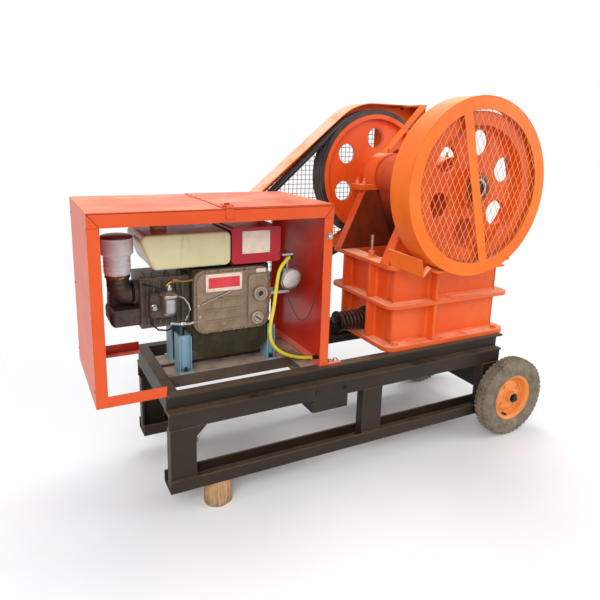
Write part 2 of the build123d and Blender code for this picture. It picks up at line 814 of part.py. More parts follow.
# Engine flywheel with the drive pulley on it
wheel_face_y = engine_wheel_y + engine_wheel_width
wheel_web_y = engine_wheel_y + engine_wheel_web
wheel_rim_in = engine_wheel_radius - engine_wheel_rim
drive_line = [
    (0, engine_wheel_y), (engine_wheel_radius, engine_wheel_y), (engine_wheel_radius, wheel_face_y),
    (wheel_rim_in, wheel_face_y), (wheel_rim_in - rim_taper, wheel_web_y),
    (drive_hub_radius + hub_taper, wheel_web_y), (drive_hub_radius, wheel_face_y),
    (drive_hub_radius, pulley_front_y)]
drive_line += groove_line(drive_radius, pulley_front_y, pulley_width)
drive_line += [(0, pulley_back_y)]
write("drive_pulley", turned_y(drive_line, drive_x, drive_z))


belt_dx = shaft_x - drive_x
belt_dz = shaft_z - drive_z
belt_span = hypot(belt_dx, belt_dz)
belt_lean = degrees(atan2(belt_dz, belt_dx))
belt_wrap = degrees(asin((pulley_radius - drive_radius) / belt_span))


def round_point(x, z, radius, angle):
    """A point on a circle across the shaft, at an angle in degrees."""
    return (x + radius * cos(radians(angle)), 0, z + radius * sin(radians(angle)))


def belt_loop():
    """Line of the belts' top: two arcs and two straight runs round both pulleys."""
    big = pulley_radius + belt_proud
    small = drive_radius + belt_proud
    upper = belt_lean + 90 + belt_wrap
    lower = belt_lean - 90 - belt_wrap
    small_arc = [round_point(drive_x, drive_z, small, a) for a in (upper, belt_lean + 180, lower)]
    big_arc = [round_point(shaft_x, shaft_z, big, a) for a in (lower, belt_lean, upper)]
    runs = [Line(big_arc[2], small_arc[0]), ThreePointArc(*small_arc), Line(small_arc[2], big_arc[0]),
            ThreePointArc(*big_arc)]
    return Wire([run.edge() for run in runs])


belt_line = belt_loop()
belt_start = belt_line @ 0
belt_inward = Vector(sin(radians(belt_lean + belt_wrap)), 0, -cos(radians(belt_lean + belt_wrap)))
belt_plane = Plane(origin=belt_start, x_dir=(0, 1, 0), z_dir=belt_line % 0)
belt_side = 1 if belt_plane.y_dir.dot(belt_inward) > 0 else -1
belt_corners = [(-belt_top / 2, 0), (belt_top / 2, 0), (belt_bottom / 2, belt_side * belt_depth),
                (-belt_bottom / 2, belt_side * belt_depth)]
belt_section = belt_plane * make_face(Polyline(belt_corners, close=True))
belt_loop_piece = sweep(belt_section, path=belt_line)
belt_solids = []
for i in range(belt_count):
    centre = pulley_front_y + pulley_width / 2 + (i - (belt_count - 1) / 2) * belt_pitch
    belt_solids.append((Pos(0, centre, 0) * belt_loop_piece).solid())
write("drive_belts", Compound(belt_solids))

# Flywheel guard, a rolled band with a ring and an expanded-metal disc in front
drum_back_y = drum_front_y + drum_depth
band = rod_along_y(shaft_x, shaft_z, drum_radius, drum_front_y + drum_ring_thickness, drum_back_y)
band -= rod_along_y(shaft_x, shaft_z, drum_radius - drum_sheet, drum_front_y - 1, drum_back_y + 1)


def diamond_mesh():
    """Disc of expanded metal: rows of diamond holes, every other row moved by half a step."""
    reach = drum_window_radius + mesh_hold
    disc = Circle(reach)
    half_w = (diamond_across - mesh_strand * 1.1) / 2
    half_h = (diamond_along - mesh_strand * 2.2) / 2
    diamond = make_face(Polyline([(half_w, 0), (0, half_h), (-half_w, 0), (0, -half_h)], close=True))
    holes = []
    rows = ceil(reach / diamond_along) * 2 + 1
    columns = ceil(reach / diamond_across) + 1
    for row in range(-rows, rows + 1):
        for column in range(-columns, columns + 1):
            u = (column + (row % 2) / 2) * diamond_across
            v = row * diamond_along / 2
            if hypot(abs(u) + half_w * 0.6, abs(v) + half_h * 0.6) < drum_window_radius - 4:
                holes.append(Pos(u, v) * diamond)
    return extrude(disc - holes, amount=mesh_sheet)


guard_front = rod_along_y(shaft_x, shaft_z, drum_radius, drum_front_y, drum_front_y + drum_ring_thickness)
guard_front -= rod_along_y(shaft_x, shaft_z, drum_window_radius, drum_front_y - 1,
                           drum_front_y + drum_ring_thickness + 1)
guard_bar = Pos(shaft_x - bar_offset, 0, shaft_z) * Rot(0, -bar_tilt, 0) * span(
    -bar_width / 2, bar_width / 2, drum_front_y, drum_front_y + drum_ring_thickness,
    -drum_window_radius - 6, drum_window_radius + 6)
guard_front += guard_bar
mesh_piece = Pos(shaft_x, drum_front_y + drum_ring_thickness, shaft_z) * Rot(90, 0, 0) * diamond_mesh()
write("flywheel_guard_front", guard_front + mesh_piece)


def drum_bracket(rise, side):
    """Bent plate from the top of the body out to the band, where the band is that high above the body."""
    drop = shaft_z - body_top - rise
    edge = sqrt(drum_radius ** 2 - drop ** 2)
    x0, x1 = sorted((shaft_x + side * edge, shaft_x + side * (edge - bracket_width)))
    shelf = span(x0, x1, drum_front_y + bracket_setback, body_edge + bracket_foot, body_top,
                 body_top + bracket_plate)
    upright = span(x0, x1, drum_back_y - bracket_plate, drum_back_y, body_top,
                   body_top + rise + bracket_lap)
    inner = rod_along_y(shaft_x, shaft_z, drum_radius - drum_sheet, drum_front_y - 1, drum_back_y + 1)
    return shelf + upright - inner


band += drum_bracket(bracket_rear_rise, -1)
band += drum_bracket(bracket_front_rise, 1)
write("flywheel_guard_band", band)

# Belt guard, a bent cover strip with a wire window plate on its far side
shoulder_rise = asin((guard_shoulder_radius - guard_nose_radius) / belt_span)
guard_slope = belt_lean + degrees(shoulder_rise)
slope_dx = cos(radians(guard_slope))
slope_dz = sin(radians(guard_slope))
nose_top = (drive_x - guard_nose_radius * slope_dz, drive_z + guard_nose_radius * slope_dx)
# The sloping run leaves the nose circle and bends into the level top with one arc.
slope_c = -nose_top[0] * slope_dz + nose_top[1] * slope_dx
guard_rise_x = (guard_top_z - slope_c / slope_dx) / tan(radians(guard_slope))
bend_start = (guard_rise_x - guard_bend * slope_dx, guard_top_z - guard_bend * slope_dz)
bend_end = (guard_rise_x + guard_bend, guard_top_z)
nose_low = (drive_x, drive_z - guard_nose_radius)
nose_mid = (drive_x - guard_nose_radius * cos(radians(20)), drive_z - guard_nose_radius * sin(radians(20)))
guard_low_x = drive_x + guard_low_reach
guard_tail = (guard_end_x, guard_end_z)


def guard_line():
    """Outer line of the guard from under the engine pulley over the top to its square end."""
    bend_radius = guard_bend / tan(radians(guard_slope / 2))
    centre_x = bend_end[0]
    centre_z = guard_top_z - bend_radius
    half = radians(90 + guard_slope / 2)
    bend_mid = (centre_x + bend_radius * cos(half), centre_z + bend_radius * sin(half))
    return [Line((guard_low_x, nose_low[1]), nose_low), ThreePointArc(nose_low, nose_mid, nose_top),
            Line(nose_top, bend_start), ThreePointArc(bend_start, bend_mid, bend_end),
            Line(bend_end, (guard_end_x, guard_top_z)), Line((guard_end_x, guard_top_z), guard_tail)]


def guard_face():
    """Whole outline of the guard's side plate."""
    edges = [e.edge() for e in guard_line()]
    edges.append(Line(guard_tail, (guard_low_x, nose_low[1])).edge())
    return Face(Wire(edges))


guard_outline = guard_face()
guard_inner = offset(guard_outline, amount=-guard_sheet)
cover_ring = guard_outline - guard_inner
low_dx = guard_end_x - guard_low_x
low_dz = guard_end_z - nose_low[1]
low_run = hypot(low_dx, low_dz)
slit = guard_sheet * 1.6
slit_x = -low_dz / low_run * slit
slit_z = low_dx / low_run * slit
open_edge = [(guard_tail[0] + slit_x, guard_tail[1] + slit_z), (guard_low_x + slit_x, nose_low[1] + slit_z)]
open_edge += [(guard_low_x + guard_low_reach, nose_low[1] - guard_depth),
              (guard_end_x + guard_border, guard_end_z - guard_depth),
              (guard_end_x + guard_border, guard_end_z)]
cover_sheet = cover_ring - make_face(Polyline(open_edge, close=True))
cover = Rot(90, 0, 0) * extrude(cover_sheet, amount=guard_depth - guard_sheet, dir=(0, 0, 1))
write("belt_guard_cover", Pos(0, guard_far_y - guard_sheet, 0) * cover)


def guard_window():
    """Side plate with a square wire window inside a plain border."""
    plate = guard_outline
    border = offset(guard_outline, amount=-guard_border)
    hole = window_pitch - window_wire
    cells = []
    columns = int((guard_end_x - drive_x + guard_nose_radius) / window_pitch) + 2
    rows = int((guard_top_z - drive_z + guard_nose_radius) / window_pitch) + 2
    box = border.bounding_box()
    for i in range(columns):
        for j in range(rows):
            x = box.min.X + (i + 0.5) * window_pitch
            z = box.min.Y + (j + 0.5) * window_pitch
            corners = [(x + sx * hole / 2, z + sz * hole / 2) for sx in (-1, 1) for sz in (-1, 1)]
            if all(border.is_inside(Vector(cx, cz, 0)) for cx, cz in corners):
                cells.append(Pos(x, z) * Rectangle(hole, hole))
    return extrude(plate - cells, amount=guard_sheet, dir=(0, 0, 1))


write("belt_guard_plate", Pos(0, guard_far_y, 0) * Rot(90, 0, 0) * guard_window())

# Stay from the far bearing up to the guard cover, and a foot under the guard
far_bearing_end = skid_width - bearing_outer_y
stay_y0 = far_bearing_end - stay_setback
stay_x0 = shaft_x - stay_setback - stay_width / 2
stay_x1 = stay_x0 + stay_width
stay_top_z = guard_top_z - guard_sheet
stay_base_z = shaft_z + bearing_radius
stay_shift = (stay_top_z - stay_base_z) * stay_lean
stay = side_profile([(stay_x0, stay_base_z - stay_overlap), (stay_x1, stay_base_z - stay_overlap),
                     (stay_x1 + stay_shift, stay_top_z), (stay_x0 + stay_shift, stay_top_z)],
                    stay_y0 - stay_thickness, stay_y0)
stay += span(stay_x0 + stay_shift, stay_x1 + stay_shift, stay_y0, guard_far_y - guard_sheet,
             stay_top_z - stay_thickness, stay_top_z)
stay -= rod_along_y(shaft_x, shaft_z, bearing_radius, inner_y, far_bearing_end)
write("guard_stay", stay)
foot_x = guard_low_x - foot_width - guard_foot_setback
foot_y = guard_far_y - guard_sheet
guard_foot = span(foot_x, foot_x + foot_width, skid_width, foot_y, beam_top - foot_plate, beam_top)
guard_foot += span(foot_x, foot_x + foot_width, foot_y - foot_plate, foot_y, beam_top, nose_low[1])
write("guard_foot", guard_foot)

# Engine enclosure, sheets in angle-bar frames, open in front and behind
case_deck = beam_top + weld_gap
case_roof_z = case_top_z - case_sheet - weld_gap


def case_side(x, inward, foot_z):
    """Side sheet with its two posts and bars; inward is +1 when the inside is at larger X."""
    x_in = x + inward * case_sheet
    x_bar = x + inward * case_bar
    piece = span(x, x_in, case_y, case_far_y, foot_z, case_roof_z)
    for y0, y1 in ((case_y, case_y + case_sheet), (case_far_y - case_sheet, case_far_y)):
        piece += span(x, x_bar, y0, y1, foot_z, case_roof_z)
    piece += span(x, x_bar, case_y, case_far_y, case_roof_z - case_sheet, case_roof_z)
    piece += span(x, x_bar, case_y, case_far_y, foot_z, foot_z + case_sheet)
    return piece


left_side = case_side(case_x, 1, case_z)
right_side = case_side(case_end_x, -1, case_deck)
case_foot_top = case_deck + case_sheet * 2
right_foot = span(case_end_x, case_foot_x, case_y, case_y + case_bar, case_deck, case_foot_top)
right_foot += span(case_end_x, case_foot_x, case_far_y - case_bar, case_far_y, case_deck, case_foot_top)
write("enclosure_left_side", left_side)
write("enclosure_right_side", right_side + right_foot)
roof = span(case_x, case_end_x, case_y, case_far_y, case_top_z - case_sheet, case_top_z)
for y0, y1 in ((case_y - case_sheet, case_y), (case_far_y, case_far_y + case_sheet)):
    roof += span(case_x, case_end_x, y0, y1, case_top_z - case_top_bar, case_top_z)
write("enclosure_roof", roof)


def case_sill(y0, y1):
    """Angle bar from the left side panel to the end of the skid."""
    start = case_x + case_bar + weld_gap
    piece = span(start, 0 - weld_gap, y0, y1, case_z, case_z + case_sheet)
    edge = (y0, y0 + case_sheet) if y0 < y_half else (y1 - case_sheet, y1)
    piece += span(start, 0 - weld_gap, edge[0], edge[1], case_z, case_z + case_bar)
    return piece


write("near_enclosure_sill", case_sill(case_y, case_y + case_bar))
write("far_enclosure_sill", case_sill(case_far_y - case_bar, case_far_y))

# Diesel engine
block = span(block_x, block_end_x, block_y, block_far_y, block_bottom, block_top)
block = chamfer(block.edges().filter_by(Axis.Y).sort_by(Axis.Z)[:2], block_chamfer)
block = fillet(block.edges().filter_by(Axis.Z), block_round)
write("engine_block", block)

# Gear cover: a stepped lid with casting ridges, a raised pad and two bosses
cover_width = block_length - 2 * cover_inset
cover_height = block_top - cover_bottom - cover_inset
cover_sketch = fillet(Rectangle(cover_width, cover_height).vertices(), cover_corner)
gear_cover = extrude(cover_sketch, amount=cover_thickness - cover_step)
gear_cover += Pos(0, 0, cover_thickness - cover_step) * extrude(offset(cover_sketch, amount=-cover_rim),
                                                                amount=cover_step)
pad_mid_x = cover_width / 2 - 2 * cover_rim - pad_width / 2
pad_sketch = fillet(Rectangle(pad_width, cover_height - 2 * pad_drop).vertices(), pad_corner)
gear_cover += Pos(pad_mid_x, 0, 0) * extrude(pad_sketch, amount=cover_thickness + pad_height)
ridge_length = cover_width - pad_width - 2 * cover_corner
ridge_x = -cover_width / 2 + cover_corner + ridge_length / 2
for i in range(ridge_count):
    ridge_z = -ridge_pitch * i + ridge_pitch / 4
    ridge = Rectangle(ridge_length, ridge_width)
    gear_cover += Pos(ridge_x, ridge_z, 0) * extrude(ridge, amount=cover_thickness + ridge_height)
for (boss_x, boss_z), radius in ((upper_boss, boss_radius), (lower_boss, lower_boss_radius)):
    gear_cover += Pos(boss_x, boss_z, 0) * extrude(Circle(radius), amount=cover_thickness + boss_height)
cover_place = Pos((block_x + block_end_x) / 2, block_y, (block_top + cover_bottom) / 2)
write("gear_cover", cover_place * Rot(90, 0, 0) * gear_cover)

# Cylinder head with cooling ribs, and the elbow up to the air cleaner
head = span(head_x, block_x, block_y + head_inset, block_far_y - head_inset, head_bottom, head_top)
rib_y0 = block_y + head_inset - head_rib_proud
rib_y1 = block_far_y - head_inset + head_rib_proud
for i in range(1, int(head_length / head_fin_pitch)):
    fin_x = head_x + i * head_fin_pitch
    head += span(fin_x, fin_x + head_fin, rib_y0, rib_y1, head_bottom + head_rib_inset,
                 head_top - head_rib_inset)
elbow_z = (head_bottom + head_top) / 2 + elbow_rise
elbow_path = FilletPolyline((head_x, head_mid_y, elbow_z), (elbow_x, head_mid_y, elbow_z),
                            (elbow_x, head_mid_y, cleaner_bottom), radius=elbow_bend)
elbow_ring = Plane(origin=elbow_path @ 0, z_dir=elbow_path % 0) * Circle(elbow_radius)
elbow = sweep(elbow_ring, path=elbow_path)
elbow += rod_along_x(head_mid_y, elbow_z, elbow_radius + elbow_flange, head_x - elbow_flange, head_x)
chest_top = elbow_z - elbow_radius - weld_gap
chest = span(head_x - chest_length, head_x, head_mid_y - chest_width / 2, head_mid_y + chest_width / 2,
             chest_top - chest_height, chest_top)
chest = fillet(chest.edges().group_by(Axis.X)[0], chest_round)
write("cylinder_head", head + elbow + chest)

# Air cleaner: a waisted can with a wider cap
can_radius = cleaner_radius - cleaner_step
cap_start = cleaner_bottom + cleaner_height * 0.54
cap_edge = cleaner_top - cleaner_cap
cleaner = turned_z([
    (0, cleaner_bottom), (can_radius - cleaner_step, cleaner_bottom),
    (can_radius, cleaner_bottom + cleaner_cap), (can_radius, cap_start),
    (cleaner_radius, cap_start + cleaner_lip), (cleaner_radius, cap_edge),
    (cleaner_radius + cleaner_lip, cap_edge + cleaner_step),
    (cleaner_radius + cleaner_lip, cleaner_top - cleaner_lip), (cleaner_radius - cleaner_lip, cleaner_top),
    (0, cleaner_top)], elbow_x, head_mid_y)
write("air_cleaner", cleaner)

# Fuel tank with a slanting end, and the radiator box, both over the block
tank_y = block_y - tank_front
tank_top = tank_bottom + tank_height
tank = side_profile([(tank_x + tank_slant, tank_bottom), (tank_end_x, tank_bottom), (tank_end_x, tank_top),
                     (tank_x, tank_top)], tank_y, block_far_y)
tank = fillet(tank.edges().filter_by(Axis.Y), tank_corner)
tank = fillet(tank.edges().group_by(Axis.Y)[0], tank_edge)
cap_x = tank_x + tank_length * 0.3
tank += rod_along_z(cap_x, head_mid_y, cap_radius, tank_top - tank_edge, tank_top + cap_height)
for lug_x in (block_x + lug_inset, tank_end_x - lug_end_gap - lug_width):
    tank += span(lug_x, lug_x + lug_width, head_mid_y - lug_length / 2, head_mid_y + lug_length / 2,
                 block_top, tank_bottom + tank_edge)
write("fuel_tank", tank)
radiator = span(radiator_x, radiator_end_x, tank_y + radiator_setback, block_far_y, radiator_bottom,
                radiator_top)
radiator = fillet(radiator.edges().filter_by(Axis.Y), radiator_corner)
radiator += span(radiator_x + radiator_corner, block_end_x - block_round, block_y + radiator_neck,
                 block_far_y - radiator_neck, block_top, radiator_bottom + radiator_corner)
write("radiator_box", radiator)

# Feet at both ends of the block: a near and a far channel leg on the bed rails
def engine_foot(block_side_x, width):
    """Pair of legs; a negative width goes to smaller X from the block."""
    outer_x = block_side_x + width
    inward = engine_foot_plate if width < 0 else -engine_foot_plate
    y0 = bed_near_y + foot_setback
    flare_x = outer_x + (foot_flare if width > 0 else -foot_flare)
    top = beam_top + foot_height
    piece = span(block_side_x, outer_x, y0, y0 + engine_foot_plate, beam_top, top)
    piece += span(block_side_x, block_side_x - inward, y0, y0 + foot_depth, beam_top, top)
    piece += span(outer_x, outer_x + inward, y0, y0 + foot_depth, beam_top, top)
    piece += span(block_side_x, flare_x, y0 - foot_flare, y0 + foot_depth, beam_top,
                  beam_top + engine_foot_plate)
    return Compound([piece.solid(), far_side(piece).solid()])


write("left_engine_foot", engine_foot(block_x, -left_foot_width))
write("right_engine_foot", engine_foot(block_end_x, right_foot_width))

# Lamp on a stalk and bracket from the end of the block, turned to the open side
lamp_line = [(0, 0), (lamp_radius, 0), (lamp_radius + lamp_rim, lamp_rim), (lamp_radius, 3 * lamp_rim),
             (lamp_radius * 0.72, lamp_depth * 0.66), (lamp_radius * 0.3, lamp_depth), (0, lamp_depth)]
lamp_face = make_face(Polyline([(r, y - lamp_depth / 2, 0) for r, y in lamp_line], close=True))
lamp_bowl = Rot(0, 0, lamp_turn) * Rot(lamp_dip, 0, 0) * revolve(lamp_face, Axis.Y)
bracket_z = lamp_z - lamp_radius - lamp_bracket_gap
lamp = Pos(lamp_x, lamp_y, lamp_z) * lamp_bowl
lamp += rod_along_z(lamp_x, lamp_y, lamp_stalk, bracket_z, lamp_z)
lamp += span(block_end_x, lamp_x + lamp_stalk, lamp_y - lamp_stalk, block_y + lamp_bracket, bracket_z,
             bracket_z + lamp_bracket_gap / 2)
shelf_z = radiator_bottom + lamp_shelf_rise
shelf_end_x = lamp_x + lamp_shelf_reach
lamp += rod_along_z(lamp_x, lamp_y, lamp_stalk, lamp_z, shelf_z)
lamp += span(radiator_end_x, shelf_end_x, lamp_y - lamp_shelf_forward, block_y + lamp_stalk, shelf_z,
             shelf_z + lamp_shelf)
write("head_lamp", lamp)


def cord(points, radii, dia):
    """Round cord through straight runs joined by tangent arcs."""
    path = FilletPolyline(*points, radius=radii)
    return sweep(Plane(origin=path @ 0, z_dir=path % 0) * Circle(dia / 2), path=path)


def bend_radii(points):
    """Largest tidy bend at each inner point."""
    radii = []
    for a, b, c in zip(points, points[1:], points[2:]):
        u = [b[i] - a[i] for i in range(3)]
        v = [c[i] - b[i] for i in range(3)]
        lu = sqrt(sum(t * t for t in u))
        lv = sqrt(sum(t * t for t in v))
        turn = sum(p * q for p, q in zip(u, v)) / lu / lv
        half = tan(0.5 * acos(max(-1.0, min(1.0, turn))))
        radii.append(0.45 * min(lu, lv) / half)
    return radii


hose_points = [(shelf_end_x - 6, lamp_y - 20, shelf_z - hose_seat)]
for (across, forward), drop in zip(((31, 39), (11, 52), (0, 56), (-20, 58)), hose_drops):
    hose_points.append((block_end_x + across, block_y - forward, block_top - drop))
deck_level = beam_top + hose_dia / 2 + hose_rest
for across, forward, level in ((-14, 60, 93), (22, 62, 48), (79, 66, 19), (145, 68, 2), (184, 74, 0)):
    hose_points.append((block_end_x + across, block_y - forward, deck_level + level))
cable_points = [
    (lamp_x, lamp_y, bracket_z - cable_seat), (lamp_x + 8, lamp_y - 34, bracket_z - cable_drops[0]),
    (lamp_x + 32, lamp_y - 58, bracket_z - cable_drops[1]),
]
for (inset, forward), level in zip(((79, 70), (52, 58), (41, 46), (34, 28), (29, 6.5)), cable_levels):
    cable_points.append((case_end_x - inset, case_y + forward, beam_top + level))
for cord_name, cord_points, cord_dia in (("yellow_hose", hose_points, hose_dia),
                                         ("throttle_cable", cable_points, cable_dia)):
    cord_radii = bend_radii(cord_points)
    write(cord_name, cord(cord_points, cord_radii, cord_dia))
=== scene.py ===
"""Looks of a mobile jaw crusher: finishes, wire guards, fasteners, engine fittings, cords and studio."""
import logging
import math
import random
from collections.abc import Callable, Iterable, Sequence
from dataclasses import dataclass
from enum import Enum
from functools import cached_property

import bmesh
import bpy
from mathutils import Matrix, Vector


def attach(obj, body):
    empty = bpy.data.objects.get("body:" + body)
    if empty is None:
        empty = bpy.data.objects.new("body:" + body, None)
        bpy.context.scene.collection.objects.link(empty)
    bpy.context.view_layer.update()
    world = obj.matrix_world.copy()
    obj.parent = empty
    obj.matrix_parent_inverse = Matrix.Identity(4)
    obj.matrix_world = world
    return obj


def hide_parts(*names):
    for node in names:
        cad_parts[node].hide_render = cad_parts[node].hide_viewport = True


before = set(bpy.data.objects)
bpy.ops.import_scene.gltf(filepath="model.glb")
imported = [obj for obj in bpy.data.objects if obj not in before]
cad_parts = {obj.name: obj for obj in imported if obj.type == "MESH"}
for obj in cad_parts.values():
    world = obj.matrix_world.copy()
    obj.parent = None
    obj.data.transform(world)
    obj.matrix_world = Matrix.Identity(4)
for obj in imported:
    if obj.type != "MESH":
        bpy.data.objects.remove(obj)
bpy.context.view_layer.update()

LOG = logging.getLogger("crusher")

Colour = tuple[float, float, float]
Point = tuple[float, float, float]
Flat = tuple[float, float]

# The layout is in millimetres from the near left corner of the beams, the frame in metres from the middle.
MM = 0.001
MID_X = 821.0
MID_Y = 309.0
WIDTH = 560.0
SHAFT_X = 1263.0
SHAFT_Z = 1245.0
LOG_X = 200.0
LOG_INSET = 50.0

# Specular level of old paint and iron.
DULL = 0.32

# Faces of an eight-cornered block whose corners run low and high, then along, then across.
BLOCK_FACES = [[0, 1, 3, 2], [4, 6, 7, 5], [0, 4, 5, 1], [2, 3, 7, 6], [0, 2, 6, 4], [1, 5, 7, 3]]

# Cords, pipes and the lever's rod, from one end to the other.
HOSE_ROUTE: list[Point] = [
    (548, 142, 955.3), (497, 133, 925), (477, 120, 850), (466, 116, 760), (446, 114, 675), (452, 112, 608.1),
    (488, 110, 563.1), (545, 106, 534.1), (611, 104, 517.1), (650, 98, 515.1),
]
CABLE_ROUTE: list[Point] = [
    (542, 162, 798.5), (550, 128, 742), (574, 104, 692), (590, 86, 690), (617, 74, 735), (628, 62, 840),
    (635, 44, 950), (640, 22.5, 1046),
]
FEED_PIPE: list[Point] = [(40, 152, 878), (50, 150, 890), (72, 150, 896), (104, 150, 890), (141, 154, 892)]
INJECTOR_PIPE: list[Point] = [
    (84, 154, 834), (104, 150, 826), (122, 148, 800), (128, 147, 776), (116, 147, 752), (108, 148, 736),
]
PUMP_PIPE: list[Point] = [(66, 156, 726), (96, 152, 722), (126, 152, 720), (146, 158, 722)]
LEAK_PIPE: list[Point] = [
    (-22, 150, 872), (-26, 148, 832), (-26, 147, 780), (-20, 148, 740), (6, 150, 712), (40, 154, 704),
    (66, 158, 712),
]
LEVER_ROD: list[Point] = [(-40, 190, 884), (-10, 160, 880), (24, 150, 866), (60, 150, 852)]


def at(x: float, y: float, z: float) -> Vector:
    """A point of the skid's own layout, in millimetres, as a point of the frame in metres.

    Args:
        x: distance along the skid from the end of its beams.
        y: distance from the near beam's face towards the belt side.
        z: height over the ground.

    Returns:
        The same point in the shared frame.
    """
    return Vector(((x - MID_X) * MM, (y - MID_Y) * MM, z * MM))


def tint(red: int, green: int, blue: int) -> Colour:
    """A screen colour as the linear colour that a shader takes.

    Args:
        red: its red part from 0 to 255.
        green: its green part.
        blue: its blue part.

    Returns:
        The linear colour.
    """
    parts = []
    for value in (red, green, blue):
        part = value / 255
        parts.append(part / 12.92 if part <= 0.04045 else ((part + 0.055) / 1.055) ** 2.4)
    return parts[0], parts[1], parts[2]


class Axis(Enum):
    """Direction that a turned or fastened piece points in."""

    X = (1, 0, 0)
    Z = (0, 0, 1)
    LEFT = (-1, 0, 0)
    NEAR = (0, -1, 0)
    FAR = (0, 1, 0)
    DOWN = (0, 0, -1)


class Side(Enum):
    """The near side with the flywheel, or the far side with the belts."""

    NEAR = "near"
    FAR = "far"

    @property
    def axis(self) -> Axis:
        """The way out of the machine on this side."""
        return Axis.NEAR if self is Side.NEAR else Axis.FAR

    @property
    def outward(self) -> int:
        """Sign of Y on the way out."""
        return self.axis.value[1]

    def inset(self, y: float) -> float:
        """The place that lies a distance inside this side's face of the skid."""
        return y if self is Side.NEAR else WIDTH - y


class Value:
    """A shader socket that takes part in sums as a plain number does."""

    def __init__(self, nodes: "Nodes", socket: bpy.types.NodeSocket) -> None:
        """Hold a socket and the nodes it is among."""
        self.nodes = nodes
        self.socket = socket

    def _sum(self, operation: str, first: object, second: object) -> "Value":
        """A Math node of one operation on two values."""
        return self.nodes.node("ShaderNodeMath", {"operation": operation}, {0: first, 1: second})

    def __add__(self, other: object) -> "Value":
        """self + other."""
        return self._sum("ADD", self, other)

    def __radd__(self, other: object) -> "Value":
        """other + self."""
        return self._sum("ADD", other, self)

    def __sub__(self, other: object) -> "Value":
        """self - other."""
        return self._sum("SUBTRACT", self, other)

    def __rsub__(self, other: object) -> "Value":
        """other - self."""
        return self._sum("SUBTRACT", other, self)

    def __mul__(self, other: object) -> "Value":
        """self * other."""
        return self._sum("MULTIPLY", self, other)

    def __rmul__(self, other: object) -> "Value":
        """other * self."""
        return self._sum("MULTIPLY", other, self)

    def larger(self, other: object) -> "Value":
        """The larger of two values."""
        return self._sum("MAXIMUM", self, other)

    def sine(self) -> "Value":
        """The sine of this value in radians."""
        return self.nodes.node("ShaderNodeMath", {"operation": "SINE"}, {0: self})

    def step(self, low: float, high: float) -> "Value":
        """A soft step from 0 at low to 1 at high."""
        return self.nodes.node("ShaderNodeMapRange", {"interpolation_type": "SMOOTHSTEP"},
                               {"Value": self, "From Min": low, "From Max": high})


class Nodes:
    """A node tree that one method fills."""

    def __init__(self, tree: bpy.types.NodeTree, output: str) -> None:
        """Empty a tree but for an output node.

        Args:
            tree: the tree of a material or of the world.
            output: type of its output node.
        """
        self.tree = tree
        tree.nodes.clear()
        self.surface = tree.nodes.new(output).inputs["Surface"]

    def put(self, socket: bpy.types.NodeSocket, value: object) -> None:
        """Link a value to a socket, or set it there.

        Args:
            socket: an input.
            value: a wrapped socket, number, colour or vector.
        """
        if isinstance(value, Value):
            self.tree.links.new(value.socket, socket)
        elif isinstance(value, tuple) and socket.type == "RGBA":
            socket.default_value = (*value, 1.0) if len(value) == 3 else value
        else:
            socket.default_value = value

    def node(self, kind: str, settings: dict[str, object], inputs: dict[object, object],
             output: object = 0) -> Value:
        """Add a node.

        Args:
            kind: the node's type.
            settings: its own properties, which are set first.
            inputs: values or links by socket name or number.
            output: name or number of the output to return.

        Returns:
            The chosen output.
        """
        made = self.tree.nodes.new(kind)
        for key, value in settings.items():
            setattr(made, key, value)
        for key, value in inputs.items():
            self.put(made.inputs[key], value)
        return Value(self, made.outputs[output])


